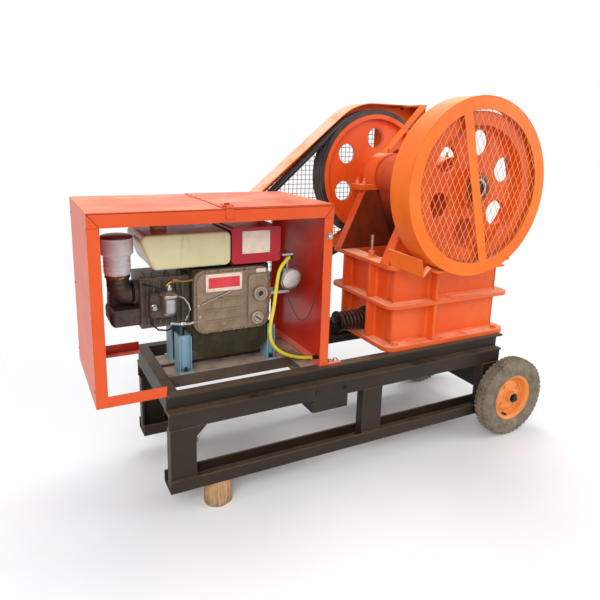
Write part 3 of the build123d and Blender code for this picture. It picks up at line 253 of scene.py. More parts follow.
class Board(Nodes):
    """The nodes of one material, with its shader and the patterns that finishes are made of."""

    def __init__(self, name: str) -> None:
        """Make a material with one Principled shader.

        Args:
            name: name of the material.
        """
        self.material = bpy.data.materials.new(name)
        self.material.use_nodes = True
        super().__init__(self.material.node_tree, "ShaderNodeOutputMaterial")
        self.shader = self.tree.nodes.new("ShaderNodeBsdfPrincipled")
        self.coated = Value(self, self.shader.outputs[0])
        self.put(self.surface, self.coated)

    def place(self) -> Value:
        """Coordinates of the piece in metres."""
        return self.node("ShaderNodeTexCoord", {}, {}, "Object")

    def stretched(self, scale: Point) -> Value:
        """Coordinates drawn out by a factor on each axis."""
        return self.node("ShaderNodeMapping", {}, {"Vector": self.place(), "Scale": scale})

    def noise(self, scale: float, detail: float, rough: float, stretch: Point | None = None) -> Value:
        """A cloudy pattern.

        Args:
            scale: how fine it is.
            detail: number of finer layers.
            rough: strength of the finer layers.
            stretch: factor on each axis, where it is drawn out.

        Returns:
            A value from 0 to 1.
        """
        where = self.stretched(stretch) if stretch else self.place()
        return self.node("ShaderNodeTexNoise", {}, {"Vector": where, "Scale": scale,
                                                    "Detail": detail, "Roughness": rough}, "Fac")

    def cells(self, scale: float) -> Value:
        """Distance to the nearest of many scattered points."""
        return self.node("ShaderNodeTexVoronoi", {}, {"Vector": self.place(), "Scale": scale}, "Distance")

    def part(self, vector: Value, name: str) -> Value:
        """One of the X, Y or Z parts of a vector."""
        return self.node("ShaderNodeSeparateXYZ", {}, {0: vector}, name)

    def vectors(self, operation: str, *parts: object) -> Value:
        """A Vector Math node, which gives a number for a length or a dot product and else a vector."""
        output = "Value" if operation in ("LENGTH", "DOT_PRODUCT") else "Vector"
        return self.node("ShaderNodeVectorMath", {"operation": operation}, dict(enumerate(parts)), output)

    def distance(self, centre: Vector, kept: Point) -> Value:
        """Distance in metres from a centre, with 1 for each axis that counts and 0 for one that doesn't."""
        away = self.vectors("SUBTRACT", self.place(), tuple(centre))
        return self.vectors("LENGTH", self.vectors("MULTIPLY", away, kept))

    def round_shaft(self) -> Value:
        """Distance from the axis of the crusher's shaft in metres."""
        return self.distance(at(SHAFT_X, MID_Y, SHAFT_Z), (1.0, 0.0, 1.0))

    def normal(self) -> Value:
        """The surface's own direction."""
        return self.node("ShaderNodeNewGeometry", {}, {}, "Normal")

    def facing(self, name: str) -> Value:
        """One part of the surface's own direction."""
        return self.part(self.normal(), name)

    def soft_normal(self, radius: float) -> Value:
        """Direction of a surface whose corners are rounded over."""
        return self.node("ShaderNodeBevel", {"samples": 4}, {"Radius": radius})

    def corners(self, radius: float) -> Value:
        """A mask of corners, where hands, stones and straps wear a coat away."""
        same = self.vectors("DOT_PRODUCT", self.soft_normal(radius), self.normal())
        return (1.0 - same).step(0.01, 0.14)

    def occluded_creases(self, distance: float) -> Value:
        """A mask of inner corners from ambient occlusion, where dirt stays and where shade falls; the coats
        paint that shade with it.
        """
        open_sky = self.node("ShaderNodeAmbientOcclusion", {"samples": 4}, {"Distance": distance}, "AO")
        return 1.0 - open_sky

    def mixed(self, mask: object, first: object, second: object) -> Value:
        """first where mask is 0 and second where it is 1."""
        return self.node("ShaderNodeMix", {"data_type": "RGBA"}, {0: mask, 6: first, 7: second}, 2)

    def bump(self, height: Value, strength: float, distance: float, normal: Value | None = None) -> Value:
        """Relief from a height pattern.

        Args:
            height: the pattern.
            strength: how much of it shows.
            distance: its depth in metres.
            normal: direction to start from, if not the surface's own.

        Returns:
            The new direction.
        """
        inputs: dict[object, object] = {"Height": height, "Strength": strength, "Distance": distance}
        if normal is not None:
            inputs["Normal"] = normal
        return self.node("ShaderNodeBump", {}, inputs)

    def wire(self, **sockets: object) -> bpy.types.Material:
        """Set sockets of the shader.

        Args:
            **sockets: values by socket name, with underscores for spaces.

        Returns:
            The material.
        """
        for key, value in sockets.items():
            self.put(self.shader.inputs[key.replace("_", " ")], value)
        return self.material


@dataclass(frozen=True)
class Enamel:
    """Brushed or sprayed paint on steel, with faded clouds, runs of dirt, dirt and painted shade in inner
    corners, a top colour on upward faces, and worn corners; the top colour is dust on most coats and painted
    light on some.
    """

    name: str
    colour: Colour
    faded: Colour
    grime_and_shade: Colour
    bare: Colour
    roughness: float = 0.42
    wear: float = 0.6
    dirt: float = 0.5
    dust: float = 0.3
    dust_and_light_colour: Colour = tint(176, 150, 122)
    grain: float = 0.25
    grain_scale: float = 260.0
    corner: float = 0.004
    coat: float = 0.0
    soot_and_shade_below: float = 0.0
    bare_beyond: float = 0.0
    soot_and_shade_near: float = 0.0
    dust_and_light_from: float = 0.75
    greasy_within: float = 0.0

    def make(self) -> bpy.types.Material:
        """Build the material.

        Returns:
            The material.
        """
        board = Board(self.name)
        cloud = board.noise(3.2, 5.0, 0.6)
        patch = board.noise(17.0, 7.0, 0.62)
        fine = board.noise(self.grain_scale, 3.0, 0.6)
        runs = board.noise(1.0, 5.0, 0.65, (46.0, 46.0, 4.5))
        tone = board.mixed(cloud.step(0.34, 0.68), self.colour, self.faded)
        stain = runs.step(0.52, 0.74) * patch.step(0.42, 0.66) * (0.55 * self.dirt)
        tone = board.mixed(stain, tone, self.grime_and_shade)
        # Inner corners take the grime colour by ambient occlusion: dirt together with painted shade.
        crease_dirt_and_shade = (board.occluded_creases(0.05) * (0.35 + patch)).step(0.3, 0.95) * (0.85 * self.dirt)
        tone = board.mixed(crease_dirt_and_shade, tone, self.grime_and_shade)
        # Upward faces take the top colour: dust on most coats, a painted highlight on the guard band, dust
        # with a painted highlight on the belt cover and the plate under the drum, dust with a painted sheen
        # on the engine bed, and a painted shadow under the roof on the tank top.
        level = board.facing("Z").step(self.dust_and_light_from, self.dust_and_light_from + 0.23)
        top = level * board.noise(9.0, 6.0, 0.6).step(0.24, 0.56) * self.dust
        tone = board.mixed(top, tone, self.dust_and_light_colour)
        scratch = board.noise(1.0, 6.0, 0.7, (60.0, 60.0, 210.0)).step(0.68, 0.78)
        rub = board.corners(self.corner) * (patch + 0.42 * fine)
        worn = rub.step(0.5, 0.72) * self.wear + scratch * patch.step(0.5, 0.62) * (0.35 * self.wear)
        tone = self.marked(board, board.mixed(worn, tone, self.bare), cloud, patch)
        rough = self.roughness + 0.16 * patch + 0.25 * top + 0.22 * stain + 0.12 * worn - 0.08
        height = fine * 0.6 + patch * 0.5 - worn * 0.7
        relief = board.bump(height, self.grain, 0.0016, board.soft_normal(self.corner * 0.7))
        return board.wire(Base_Color=tone, Roughness=rough, Normal=relief, Coat_Weight=self.coat,
                          Coat_Roughness=0.18, Specular_IOR_Level=DULL)

    def marked(self, board: Board, tone: Value, cloud: Value, patch: Value) -> Value:
        """Add the soot and painted shade, the grease and the bare rim that this coat has.

        Args:
            board: the coat's nodes.
            tone: its colour so far.
            cloud: a coarse pattern.
            patch: a finer pattern.

        Returns:
            The colour with the marks.
        """
        # Low parts take the grime colour: soot together with painted shade in the recess between the cheeks.
        if self.soot_and_shade_below:
            height = board.part(board.place(), "Z") + 0.12 * cloud
            soot_and_shade = 1.0 - height.step(self.soot_and_shade_below - 0.2, self.soot_and_shade_below + 0.06)
            tone = board.mixed(soot_and_shade * 0.94, tone, self.grime_and_shade)
        # Faces turned to the near side take the grime colour: soot and grease together with painted shade.
        if self.soot_and_shade_near:
            shade = (-1.0 * board.facing("Y")).step(0.6, 0.9) * (0.7 + 0.5 * patch)
            tone = board.mixed(shade * self.soot_and_shade_near, tone, self.grime_and_shade)
        if self.greasy_within:
            inner, outer = self.greasy_within - 0.03, self.greasy_within
            hub = 1.0 - (board.round_shaft() - 0.03 * patch).step(inner, outer)
            tone = board.mixed(hub * 0.85, tone, self.grime_and_shade)
        if self.bare_beyond:
            rim = board.round_shaft().step(self.bare_beyond - 0.001, self.bare_beyond + 0.002)
            iron = board.mixed(patch.step(0.35, 0.7), tint(50, 43, 39), tint(76, 66, 60))
            tone = board.mixed(rim, tone, iron)
        return tone


@dataclass(frozen=True)
class CaseEnamel:
    """Sheet enamel that is orange outside and deep red inside the enclosure."""

    name: str
    outside: Colour
    outside_faded: Colour
    inside: Colour
    inside_faded: Colour
    grime_and_shade: Colour
    bare: Colour
    dust: Colour
    middle: Point

    def make(self) -> bpy.types.Material:
        """Build the material.

        Returns:
            The material.
        """
        board = Board(self.name)
        inward = board.vectors("SUBTRACT", tuple(at(*self.middle)), board.place())
        within = board.vectors("DOT_PRODUCT", board.normal(), inward).step(0.02, 0.06)
        cloud = board.noise(2.6, 4.0, 0.6)
        patch = board.noise(14.0, 7.0, 0.64)
        fine = board.noise(320.0, 2.0, 0.5)
        outer = board.mixed(cloud.step(0.35, 0.7), self.outside, self.outside_faded)
        inner = board.mixed(cloud.step(0.35, 0.7), self.inside, self.inside_faded)
        tone = board.mixed(within, outer, inner)
        top = board.facing("Z").step(0.8, 0.98) * board.noise(4.0, 6.0, 0.62).step(0.3, 0.72)
        tone = board.mixed(top * 0.6, tone, self.dust)
        # Inner corners take the grime colour by ambient occlusion: dirt together with painted shade.
        crease_dirt_and_shade = (board.occluded_creases(0.04) * (0.4 + patch)).step(0.35, 1.0) * 0.5
        tone = board.mixed(crease_dirt_and_shade, tone, self.grime_and_shade)
        worn = (board.corners(0.003) * patch).step(0.44, 0.62) * 0.5
        tone = board.mixed(worn, tone, self.bare)
        rough = 0.33 + 0.2 * patch + 0.2 * top - 0.1 * within
        waves = board.noise(5.0, 2.0, 0.4) * 3.0 + fine * 0.05
        relief = board.bump(waves, 0.22, 0.004, board.soft_normal(0.002))
        return board.wire(Base_Color=tone, Roughness=rough, Normal=relief, Coat_Weight=0.12,
                          Coat_Roughness=0.16, Specular_IOR_Level=DULL)


@dataclass(frozen=True)
class Metal:
    """Bare or oily metal, cast or turned."""

    name: str
    colour: Colour
    second: Colour
    stain: Colour
    roughness: float = 0.4
    metallic: float = 0.85
    grain: float = 0.3
    grain_scale: float = 300.0
    stains_and_shade: float = 0.5

    def make(self) -> bpy.types.Material:
        """Build the material.

        Returns:
            The material.
        """
        board = Board(self.name)
        patch = board.noise(24.0, 7.0, 0.65)
        fine = board.noise(self.grain_scale, 4.0, 0.6)
        pits = board.cells(self.grain_scale * 0.8)
        tone = board.mixed(patch.step(0.34, 0.68), self.colour, self.second)
        # Inner corners and blotches take the stain colour: dirt, and in the corners painted shade as well.
        crease_dirt_and_shade = (board.occluded_creases(0.03) * (0.4 + patch)).step(0.25, 0.9)
        soil_and_shade = crease_dirt_and_shade * self.stains_and_shade + board.noise(7.0, 6.0, 0.7).step(0.55, 0.75) * (0.6 * self.stains_and_shade)
        tone = board.mixed(soil_and_shade, tone, self.stain)
        shine = board.corners(0.0025) * patch.step(0.4, 0.6)
        tone = board.mixed(shine * 0.35, tone, tint(190, 182, 170))
        rough = self.roughness + 0.22 * patch + 0.2 * soil_and_shade - 0.1
        metallic = self.metallic - 0.6 * self.metallic * soil_and_shade
        relief = board.bump(fine * 0.6 + pits * 0.4, self.grain, 0.001, board.soft_normal(0.0016))
        return board.wire(Base_Color=tone, Roughness=rough, Metallic=metallic, Normal=relief,
                          Specular_IOR_Level=DULL)


@dataclass(frozen=True)
class Rubber:
    """Rubber with dust in its lower places."""

    name: str
    colour: Colour
    dust: Colour
    dusty: float
    roughness: float = 0.72

    def make(self) -> bpy.types.Material:
        """Build the material.

        Returns:
            The material.
        """
        board = Board(self.name)
        patch = board.noise(20.0, 7.0, 0.65)
        fine = board.noise(420.0, 3.0, 0.6)
        film = (patch + 0.5 * fine + board.occluded_creases(0.02) * 0.5).step(0.45, 1.05) * self.dusty
        tone = board.mixed(film, self.colour, self.dust)
        speck = board.cells(180.0).step(0.12, 0.05) * patch.step(0.5, 0.6)
        tone = board.mixed(speck * self.dusty * 0.6, tone, tint(190, 176, 150))
        rough = self.roughness + 0.2 * film
        relief = board.bump(fine + patch * 0.6, 0.3, 0.0012)
        return board.wire(Base_Color=tone, Roughness=rough, Normal=relief)


@dataclass(frozen=True)
class Timber:
    """Sawn log with bark-brown sides, growth rings on its ends and drying cracks."""

    name: str
    pale: Colour
    dark: Colour
    middle: Flat

    def make(self) -> bpy.types.Material:
        """Build the material.

        Returns:
            The material.
        """
        board = Board(self.name)
        radius = board.distance(at(*self.middle, 0.0), (1.0, 1.0, 0.0))
        wander = board.noise(22.0, 4.0, 0.6)
        rings = ((radius + wander * 0.008) * 1500.0).sine()
        grain = board.noise(1.0, 6.0, 0.7, (210.0, 210.0, 16.0))
        end = board.facing("Z").step(0.5, 0.9)
        side = board.mixed(grain.step(0.3, 0.7), self.pale, self.dark)
        face = board.mixed((rings * 0.5 + 0.5) * 0.6, self.pale, self.dark)
        tone = board.mixed(end, side, face)
        damp = (1.0 - board.part(board.place(), "Z").step(0.004, 0.05)) * grain.step(0.3, 0.6)
        tone = board.mixed(damp * 0.6, tone, tint(96, 74, 54))
        crack = board.noise(1.0, 3.0, 0.6, (90.0, 90.0, 5.0)).step(0.66, 0.72)
        tone = board.mixed(crack * 0.8, tone, tint(52, 36, 26))
        relief = board.bump(grain * 1.2 - crack * 1.6, 0.7, 0.003)
        return board.wire(Base_Color=tone, Roughness=0.82 + 0.1 * grain, Normal=relief)


@dataclass(frozen=True)
class Plastic:
    """Moulded plastic or hose with a little bloom, dirt, and dirt with painted shade in its inner corners."""

    name: str
    colour: Colour
    second: Colour
    grime_and_shade: Colour
    roughness: float = 0.45
    dirt: float = 0.4

    def make(self) -> bpy.types.Material:
        """Build the material.

        Returns:
            The material.
        """
        board = Board(self.name)
        patch = board.noise(26.0, 6.0, 0.62)
        fine = board.noise(500.0, 2.0, 0.5)
        tone = board.mixed(patch.step(0.35, 0.7), self.colour, self.second)
        # Inner corners take the grime colour by ambient occlusion: dirt together with painted shade.
        soil_and_shade = (board.occluded_creases(0.025) * (0.4 + patch)).step(0.3, 1.0) * self.dirt
        soil_and_shade = soil_and_shade + board.noise(60.0, 5.0, 0.7).step(0.62, 0.75) * (0.4 * self.dirt)
        tone = board.mixed(soil_and_shade, tone, self.grime_and_shade)
        relief = board.bump(fine + patch * 0.4, 0.15, 0.0008)
        rough = self.roughness + 0.2 * soil_and_shade + 0.08 * patch
        return board.wire(Base_Color=tone, Roughness=rough, Normal=relief)


@dataclass(frozen=True)
class Glass:
    """Clouded lamp glass with moulded flutes."""

    name: str
    colour: Colour

    def make(self) -> bpy.types.Material:
        """Build the material.

        Returns:
            The material.
        """
        board = Board(self.name)
        flutes = (board.part(board.place(), "X") * 900.0).sine()
        film = board.noise(40.0, 5.0, 0.6)
        tone = board.mixed(film.step(0.35, 0.75), self.colour, tint(186, 180, 172))
        relief = board.bump(flutes, 0.4, 0.001)
        return board.wire(Base_Color=tone, Roughness=0.16 + 0.3 * film, Normal=relief,
                          Coat_Weight=1.0, Coat_Roughness=0.05)


# Every finish on the machine.
RECIPES = [
    Enamel("skid_enamel", tint(36, 26, 16), tint(47, 35, 23), tint(20, 15, 11),
           tint(112, 92, 70), roughness=0.5, wear=0.7, dust=0.6, dust_and_light_colour=tint(112, 94, 76),
           grain=0.4, grain_scale=190.0),
    Enamel("body_enamel", tint(232, 100, 36), tint(226, 86, 28), tint(124, 46, 22),
           tint(158, 92, 56), wear=0.4, dirt=0.6, dust=0.95, dust_and_light_colour=tint(250, 184, 142),
           grain=0.42, grain_scale=150.0, corner=0.005, coat=0.05),
    # The far cheek's inner faces are darkened with soot and grease together with painted shade.
    Enamel("cheek_enamel", tint(228, 92, 34), tint(218, 78, 26), tint(54, 27, 20),
           tint(150, 86, 54), wear=0.4, dirt=0.6, dust=0.6, dust_and_light_colour=tint(236, 140, 96),
           grain=0.42, grain_scale=150.0, corner=0.005, coat=0.1, soot_and_shade_near=0.85),
    # The pale top colour of this coat, which reaches down to sloping faces, is dust together with a painted
    # highlight.
    Enamel("cover_enamel", tint(242, 126, 44), tint(236, 108, 34), tint(140, 60, 28),
           tint(150, 98, 66), wear=0.3, dirt=0.4, dust=0.8, dust_and_light_colour=tint(250, 204, 172),
           grain=0.2, grain_scale=240.0, corner=0.003, coat=0.1, dust_and_light_from=0.4),
    # Below the shaft the swing jaw takes soot together with painted shade.
    Enamel("jaw_enamel", tint(214, 86, 42), tint(190, 70, 34), tint(52, 26, 20),
           tint(96, 60, 46), roughness=0.5, wear=0.3, dirt=0.8, dust_and_light_colour=tint(150, 92, 66),
           grain=0.42, grain_scale=150.0, corner=0.005, soot_and_shade_below=1.26),
    # The pale top colour of this coat is a painted highlight.
    Enamel("guard_enamel", tint(244, 122, 28), tint(238, 106, 22), tint(132, 56, 22),
           tint(150, 96, 60), roughness=0.44, wear=0.35, dirt=0.4, dust=0.85,
           dust_and_light_colour=tint(252, 188, 134), grain=0.2, grain_scale=240.0, corner=0.003),
    Enamel("mesh_enamel", tint(246, 178, 126), tint(240, 158, 100), tint(170, 96, 50),
           tint(160, 110, 76), roughness=0.4, wear=0.2, dirt=0.3, dust=0.1,
           dust_and_light_colour=tint(246, 190, 130), grain=0.1, grain_scale=240.0, corner=0.001),
    Enamel("wheel_enamel", tint(230, 92, 20), tint(218, 78, 16), tint(104, 42, 20),
           tint(156, 96, 60), roughness=0.4, wear=0.35, dirt=0.6, dust=0.0, grain=0.4,
           grain_scale=170.0, corner=0.005, coat=0.05, greasy_within=0.062),
    Enamel("pulley_enamel", tint(236, 96, 32), tint(228, 84, 26), tint(108, 46, 24),
           tint(150, 96, 62), roughness=0.4, wear=0.35, dust=0.0, grain=0.4, grain_scale=170.0,
           corner=0.005, coat=0.1, bare_beyond=0.306),
    # The pale top colour of the engine bed is dust together with a painted sheen.
    Enamel("bed_enamel", tint(74, 60, 50), tint(96, 79, 67), tint(34, 27, 22),
           tint(140, 120, 104), wear=0.7, dirt=0.4, dust=1.0, dust_and_light_colour=tint(186, 162, 146),
           grain=0.4, grain_scale=190.0),
    Enamel("rim_enamel", tint(240, 158, 84), tint(228, 136, 62), tint(150, 88, 48),
           tint(140, 96, 64), wear=0.35, dirt=0.7, dust=0.0, grain_scale=200.0, corner=0.003),
    # The brown top colour of the tank is a painted shadow under the roof.
    Enamel("tank_enamel", tint(212, 202, 160), tint(198, 188, 144), tint(112, 92, 66),
           tint(140, 118, 88), roughness=0.38, wear=0.3, dirt=0.75, dust=0.8,
           dust_and_light_colour=tint(152, 106, 70), grain=0.12, corner=0.003, coat=0.2),
    Enamel("radiator_enamel", tint(188, 18, 44), tint(168, 12, 34), tint(70, 14, 18),
           tint(150, 90, 80), roughness=0.34, wear=0.3, dust=0.2,
           dust_and_light_colour=tint(190, 110, 96), grain=0.12, corner=0.003, coat=0.25),
    Enamel("foot_enamel", tint(146, 182, 194), tint(116, 154, 168), tint(64, 66, 62),
           tint(92, 84, 76), roughness=0.45, wear=0.7, dirt=0.8, dust=0.35,
           dust_and_light_colour=tint(130, 118, 104), grain_scale=220.0, corner=0.003),
    CaseEnamel("case_enamel", outside=tint(220, 84, 28), outside_faded=tint(212, 74, 24),
               inside=tint(220, 54, 28), inside_faded=tint(190, 30, 16),
               grime_and_shade=tint(120, 34, 18), bare=tint(150, 70, 44), dust=tint(250, 182, 144),
               middle=(213.0, 261.0, 840.0)),
    Enamel("case_gap", tint(120, 38, 20), tint(100, 30, 16), tint(60, 22, 14),
           tint(130, 60, 40), roughness=0.5, wear=0.3, dust=0.0),
    Metal("gear_cover_iron", tint(146, 123, 100), tint(126, 105, 85), tint(70, 57, 47),
          roughness=0.48, metallic=0.25, grain=0.45, grain_scale=210.0),
    Metal("boss_iron", tint(178, 158, 138), tint(152, 132, 114), tint(66, 54, 46),
          metallic=0.5, grain_scale=210.0, stains_and_shade=0.4),
    Metal("engine_iron", tint(96, 83, 73), tint(74, 63, 55), tint(30, 25, 21), roughness=0.46,
          metallic=0.25, grain=0.5, grain_scale=180.0, stains_and_shade=0.7),
    # Very dark olive iron: the sump's oily iron together with painted shade under the gear cover.
    Metal("shaded_sump_iron", tint(56, 47, 20), tint(34, 28, 13), tint(9, 8, 6), roughness=0.5,
          metallic=0.1, grain=0.4, grain_scale=200.0, stains_and_shade=0.9),
    Metal("spring_steel", tint(62, 46, 40), tint(92, 56, 46), tint(26, 20, 18), roughness=0.42,
          metallic=0.5, grain=0.4, grain_scale=240.0, stains_and_shade=0.6),
    Metal("net_steel", tint(128, 116, 106), tint(104, 92, 84), tint(70, 56, 46), roughness=0.5,
          metallic=0.6, grain=0.2, grain_scale=260.0, stains_and_shade=0.4),
    Metal("jaw_iron", tint(104, 98, 92), tint(84, 76, 68), tint(110, 62, 40), roughness=0.45, metallic=0.8,
          grain=0.5, grain_scale=160.0, stains_and_shade=0.6),
    Metal("black_steel", tint(34, 32, 31), tint(48, 44, 41), tint(18, 16, 15), roughness=0.42,
          metallic=0.7, grain_scale=260.0),
    Metal("bright_steel", tint(186, 184, 180), tint(158, 155, 150), tint(92, 78, 64),
          roughness=0.3, metallic=0.95, grain=0.2, grain_scale=320.0, stains_and_shade=0.4),
    Metal("old_brass", tint(158, 122, 62), tint(130, 98, 50), tint(70, 52, 32), roughness=0.38,
          metallic=0.9, grain=0.2),
    Rubber("tyre_rubber", tint(74, 66, 56), tint(152, 136, 112), dusty=0.85),
    Rubber("belt_rubber", tint(26, 25, 25), tint(74, 66, 60), dusty=0.4, roughness=0.6),
    Rubber("cable_rubber", tint(62, 40, 26), tint(96, 70, 50), dusty=0.4, roughness=0.55),
    *(Timber(f"{side.value}_log_timber", tint(196, 158, 116), tint(150, 108, 74),
             middle=(LOG_X, side.inset(LOG_INSET))) for side in Side),
    Plastic("cleaner_shell", tint(250, 249, 248), tint(238, 236, 235), tint(168, 148, 140),
            roughness=0.4),
    # Dark reddish cap: painted shade under the roof with a painted red reflection of the roof.
    Plastic("cleaner_cap_shade_and_reflection", tint(110, 72, 70), tint(132, 92, 88), tint(58, 40, 38),
            roughness=0.35, dirt=0.5),
    Plastic("hose_plastic", tint(218, 208, 54), tint(204, 190, 44), tint(150, 132, 60),
            roughness=0.38, dirt=0.3),
    Plastic("plate_face", tint(226, 206, 186), tint(212, 190, 170), tint(150, 126, 106),
            roughness=0.4),
    Plastic("plate_red", tint(214, 58, 62), tint(196, 42, 50), tint(140, 60, 54),
            roughness=0.4),
    Glass("lamp_glass", tint(216, 212, 204)),
]


class Shop:
    """The finishes, made once and kept by name."""

    def __init__(self) -> None:
        """Make every finish."""
        self.made: dict[str, bpy.types.Material] = {recipe.name: recipe.make() for recipe in RECIPES}

    def __getitem__(self, name: str) -> bpy.types.Material:
        """A finish by name."""
        return self.made[name]


class Piece:
    """One mesh piece, built up from blocks, turned forms, bars, beads and fasteners in layout millimetres."""

    def __init__(self, name: str, shop: Shop, finish: str) -> None:
        """Start an empty piece with one finish.

        Args:
            name: name of the piece.
            shop: the finishes.
            finish: finish of what is added first.
        """
        self.name = name
        self.shop = shop
        self.verts: list[Vector] = []
        self.faces: list[tuple[list[int], int]] = []
        self.finishes: list[str] = []
        self.current = 0
        self.finish(finish)

    def finish(self, name: str) -> None:
        """Change the finish of what is added next.

        Args:
            name: name of the finish.
        """
        if name not in self.finishes:
            self.finishes.append(name)
        self.current = self.finishes.index(name)

    def add(self, verts: Iterable[Sequence[float]], faces: Iterable[Sequence[int]],
            matrix: Matrix | None = None) -> None:
        """Add points and faces.

        Args:
            verts: the points.
            faces: numbers of the points round each face.
            matrix: takes local points to the layout.
        """
        start = len(self.verts)
        for vert in verts:
            point = Vector(vert)
            self.verts.append(matrix @ point if matrix else point)
        self.faces += [([start + i for i in face], self.current) for face in faces]

    def block(self, low: Point, high: Point, chamfer: float = 2.0, matrix: Matrix | None = None) -> None:
        """Add a box with chamfered edges.

        Args:
            low: one corner.
            high: the opposite corner.
            chamfer: width that each chamfer takes.
            matrix: takes a local box to the layout.
        """
        lo = [min(a, b) for a, b in zip(low, high)]
        hi = [max(a, b) for a, b in zip(low, high)]
        cut = min([chamfer] + [(b - a) * 0.45 for a, b in zip(lo, hi)])
        signs = [(sx, sy, sz) for sx in (0, 1) for sy in (0, 1) for sz in (0, 1)]
        verts = []
        for sign in signs:
            for axis in range(3):
                inset = [0.0 if k == axis else cut for k in range(3)]
                verts.append([hi[k] - inset[k] if sign[k] else lo[k] + inset[k] for k in range(3)])
        # Each corner has three points, one on each of its faces; a step leads to the next corner's points.
        step = (12, 6, 3)
        faces: list[list[int]] = []
        for axis in range(3):
            b, c = (axis + 1) % 3, (axis + 2) % 3
            for end in (0, step[axis]):
                loop = [end + i * step[b] + j * step[c] + axis for i, j in ((0, 0), (1, 0), (1, 1), (0, 1))]
                faces.append(loop if end else loop[::-1])
            for i in (0, 1):
                for j in (0, 1):
                    first = i * step[b] + j * step[c]
                    last = first + step[axis]
                    loop = [first + b, last + b, last + c, first + c]
                    faces.append(loop if i == j else loop[::-1])
        for number, sign in enumerate(signs):
            loop = [3 * number + k for k in range(3)]
            faces.append(loop if sum(sign) % 2 else loop[::-1])
        self.add(verts, faces, matrix)

    @staticmethod
    def stand(centre: Point, axis: Axis | Vector) -> Matrix:
        """A matrix that takes local Z to an axis.

        Args:
            centre: where the local origin goes.
            axis: where local Z points.

        Returns:
            The matrix.
        """
        direction = Vector(axis.value) if isinstance(axis, Axis) else Vector(axis)
        turn = direction.to_track_quat("Z", "Y").to_matrix().to_4x4()
        return Matrix.Translation(Vector(centre)) @ turn

    def turned(self, centre: Point, axis: Axis | Vector, line: Sequence[Flat],
               steps: int = 40, phase: float = 0.0) -> None:
        """Add a turned form.

        Args:
            centre: the point where height is 0.
            axis: direction of growing height.
            line: radius and height from one end to the other.
            steps: sides of the round.
            phase: angle of the first side in degrees.
        """
        verts: list[Point] = []
        rings: list[list[int]] = []
        for radius, height in line:
            if radius <= 1e-6:
                rings.append([len(verts)])
                verts.append((0.0, 0.0, height))
                continue
            ring = []
            for i in range(steps):
                angle = math.radians(phase) + math.tau * i / steps
                ring.append(len(verts))
                verts.append((radius * math.cos(angle), radius * math.sin(angle), height))
            rings.append(ring)
        faces: list[list[int]] = []
        for low, high in zip(rings, rings[1:]):
            if len(low) == 1 and len(high) == 1:
                continue
            for i in range(steps):
                j = (i + 1) % steps
                if len(low) == 1:
                    faces.append([low[0], high[j], high[i]])
                elif len(high) == 1:
                    faces.append([low[i], low[j], high[0]])
                else:
                    faces.append([low[i], low[j], high[j], high[i]])
        self.add(verts, faces, self.stand(centre, axis))

    def bolt(self, centre: Point, axis: Axis | Vector, across: float = 18.0, height: float = 10.0,
             washer: bool = True, stud: float = 0.0) -> None:
        """Add a hexagon head.

        Args:
            centre: middle of its seat.
            axis: the way it points.
            across: width across flats.
            height: height of the head.
            washer: whether it has a washer.
            stud: length of the stud end that stands out of it.
        """
        radius = across / math.sqrt(3)
        base = 0.0
        if washer:
            base = 2.4
            self.turned(centre, axis, [(0, 0), (radius * 1.28, 0), (radius * 1.28, base * 0.75),
                                       (radius * 1.2, base), (0, base)], 20)
        phase = (centre[0] * 7 + centre[2] * 3) % 60
        self.turned(centre, axis, [(0, base), (radius, base), (radius, base + height * 0.82),
                                   (radius * 0.86, base + height), (0, base + height)], 6, phase)
        if stud > 0:
            core = radius * 0.56
            self.turned(centre, axis, [(core, base + height), (core, base + height + stud * 0.86),
                                       (core * 0.8, base + height + stud), (0, base + height + stud)], 14)

    def screw(self, centre: Point, axis: Axis) -> None:
        """Add the domed head of a small screw."""
        self.turned(centre, axis, [(3, 0), (2.6, 1), (0, 1.4)], 10)

    def rod(self, points: Sequence[Sequence[float]], radius: float, sides: int = 10, closed: bool = False,
            ripple: Callable[[int], float] | None = None, over: Axis = Axis.Z) -> None:
        """Add a round bar through points.

        Args:
            points: its middle line.
            radius: its radius.
            sides: sides of the round.
            closed: whether it is a loop; an open bar has closed ends.
            ripple: factor on the radius at each point.
            over: direction from which its sides are counted, not along the bar.
        """
        line = [Vector(p) for p in points]
        count = len(line)
        up = Vector(over.value)
        verts: list[Vector] = []
        for i, point in enumerate(line):
            before = line[i - 1] if i > 0 or closed else line[i]
            after = line[(i + 1) % count] if i < count - 1 or closed else line[i]
            way = (after - before).normalized()
            side = way.cross(up)
            if side.length < 0.2:
                side = way.cross(Vector((1, 0, 0)))
            side.normalize()
            lift = side.cross(way).normalized()
            size = radius * (ripple(i) if ripple else 1.0)
            for k in range(sides):
                angle = math.tau * k / sides
                verts.append(point + side * (size * math.cos(angle)) + lift * (size * math.sin(angle)))
        faces: list[list[int]] = []
        for i in range(count if closed else count - 1):
            j = (i + 1) % count
            for k in range(sides):
                m = (k + 1) % sides
                faces.append([i * sides + k, i * sides + m, j * sides + m, j * sides + k])
        if not closed:
            faces.append(list(range(sides))[::-1])
            faces.append(list(range((count - 1) * sides, count * sides)))
        self.add(verts, faces)

    def bead(self, start: Point, end: Point, radius: float = 3.5, seed: int = 1) -> None:
        """Add a weld bead with its ripples.

        Args:
            start: one end.
            end: the other end.
            radius: its radius.
            seed: start of its random ripples.
        """
        a, b = Vector(start), Vector(end)
        count = max(3, int((b - a).length / 4.5))
        pick = random.Random(seed)
        swell = [0.86 + 0.22 * (i % 2) + 0.16 * pick.random() for i in range(count + 1)]
        points = [a.lerp(b, i / count) for i in range(count + 1)]
        self.rod(points, radius, 6, False, lambda i: swell[i])

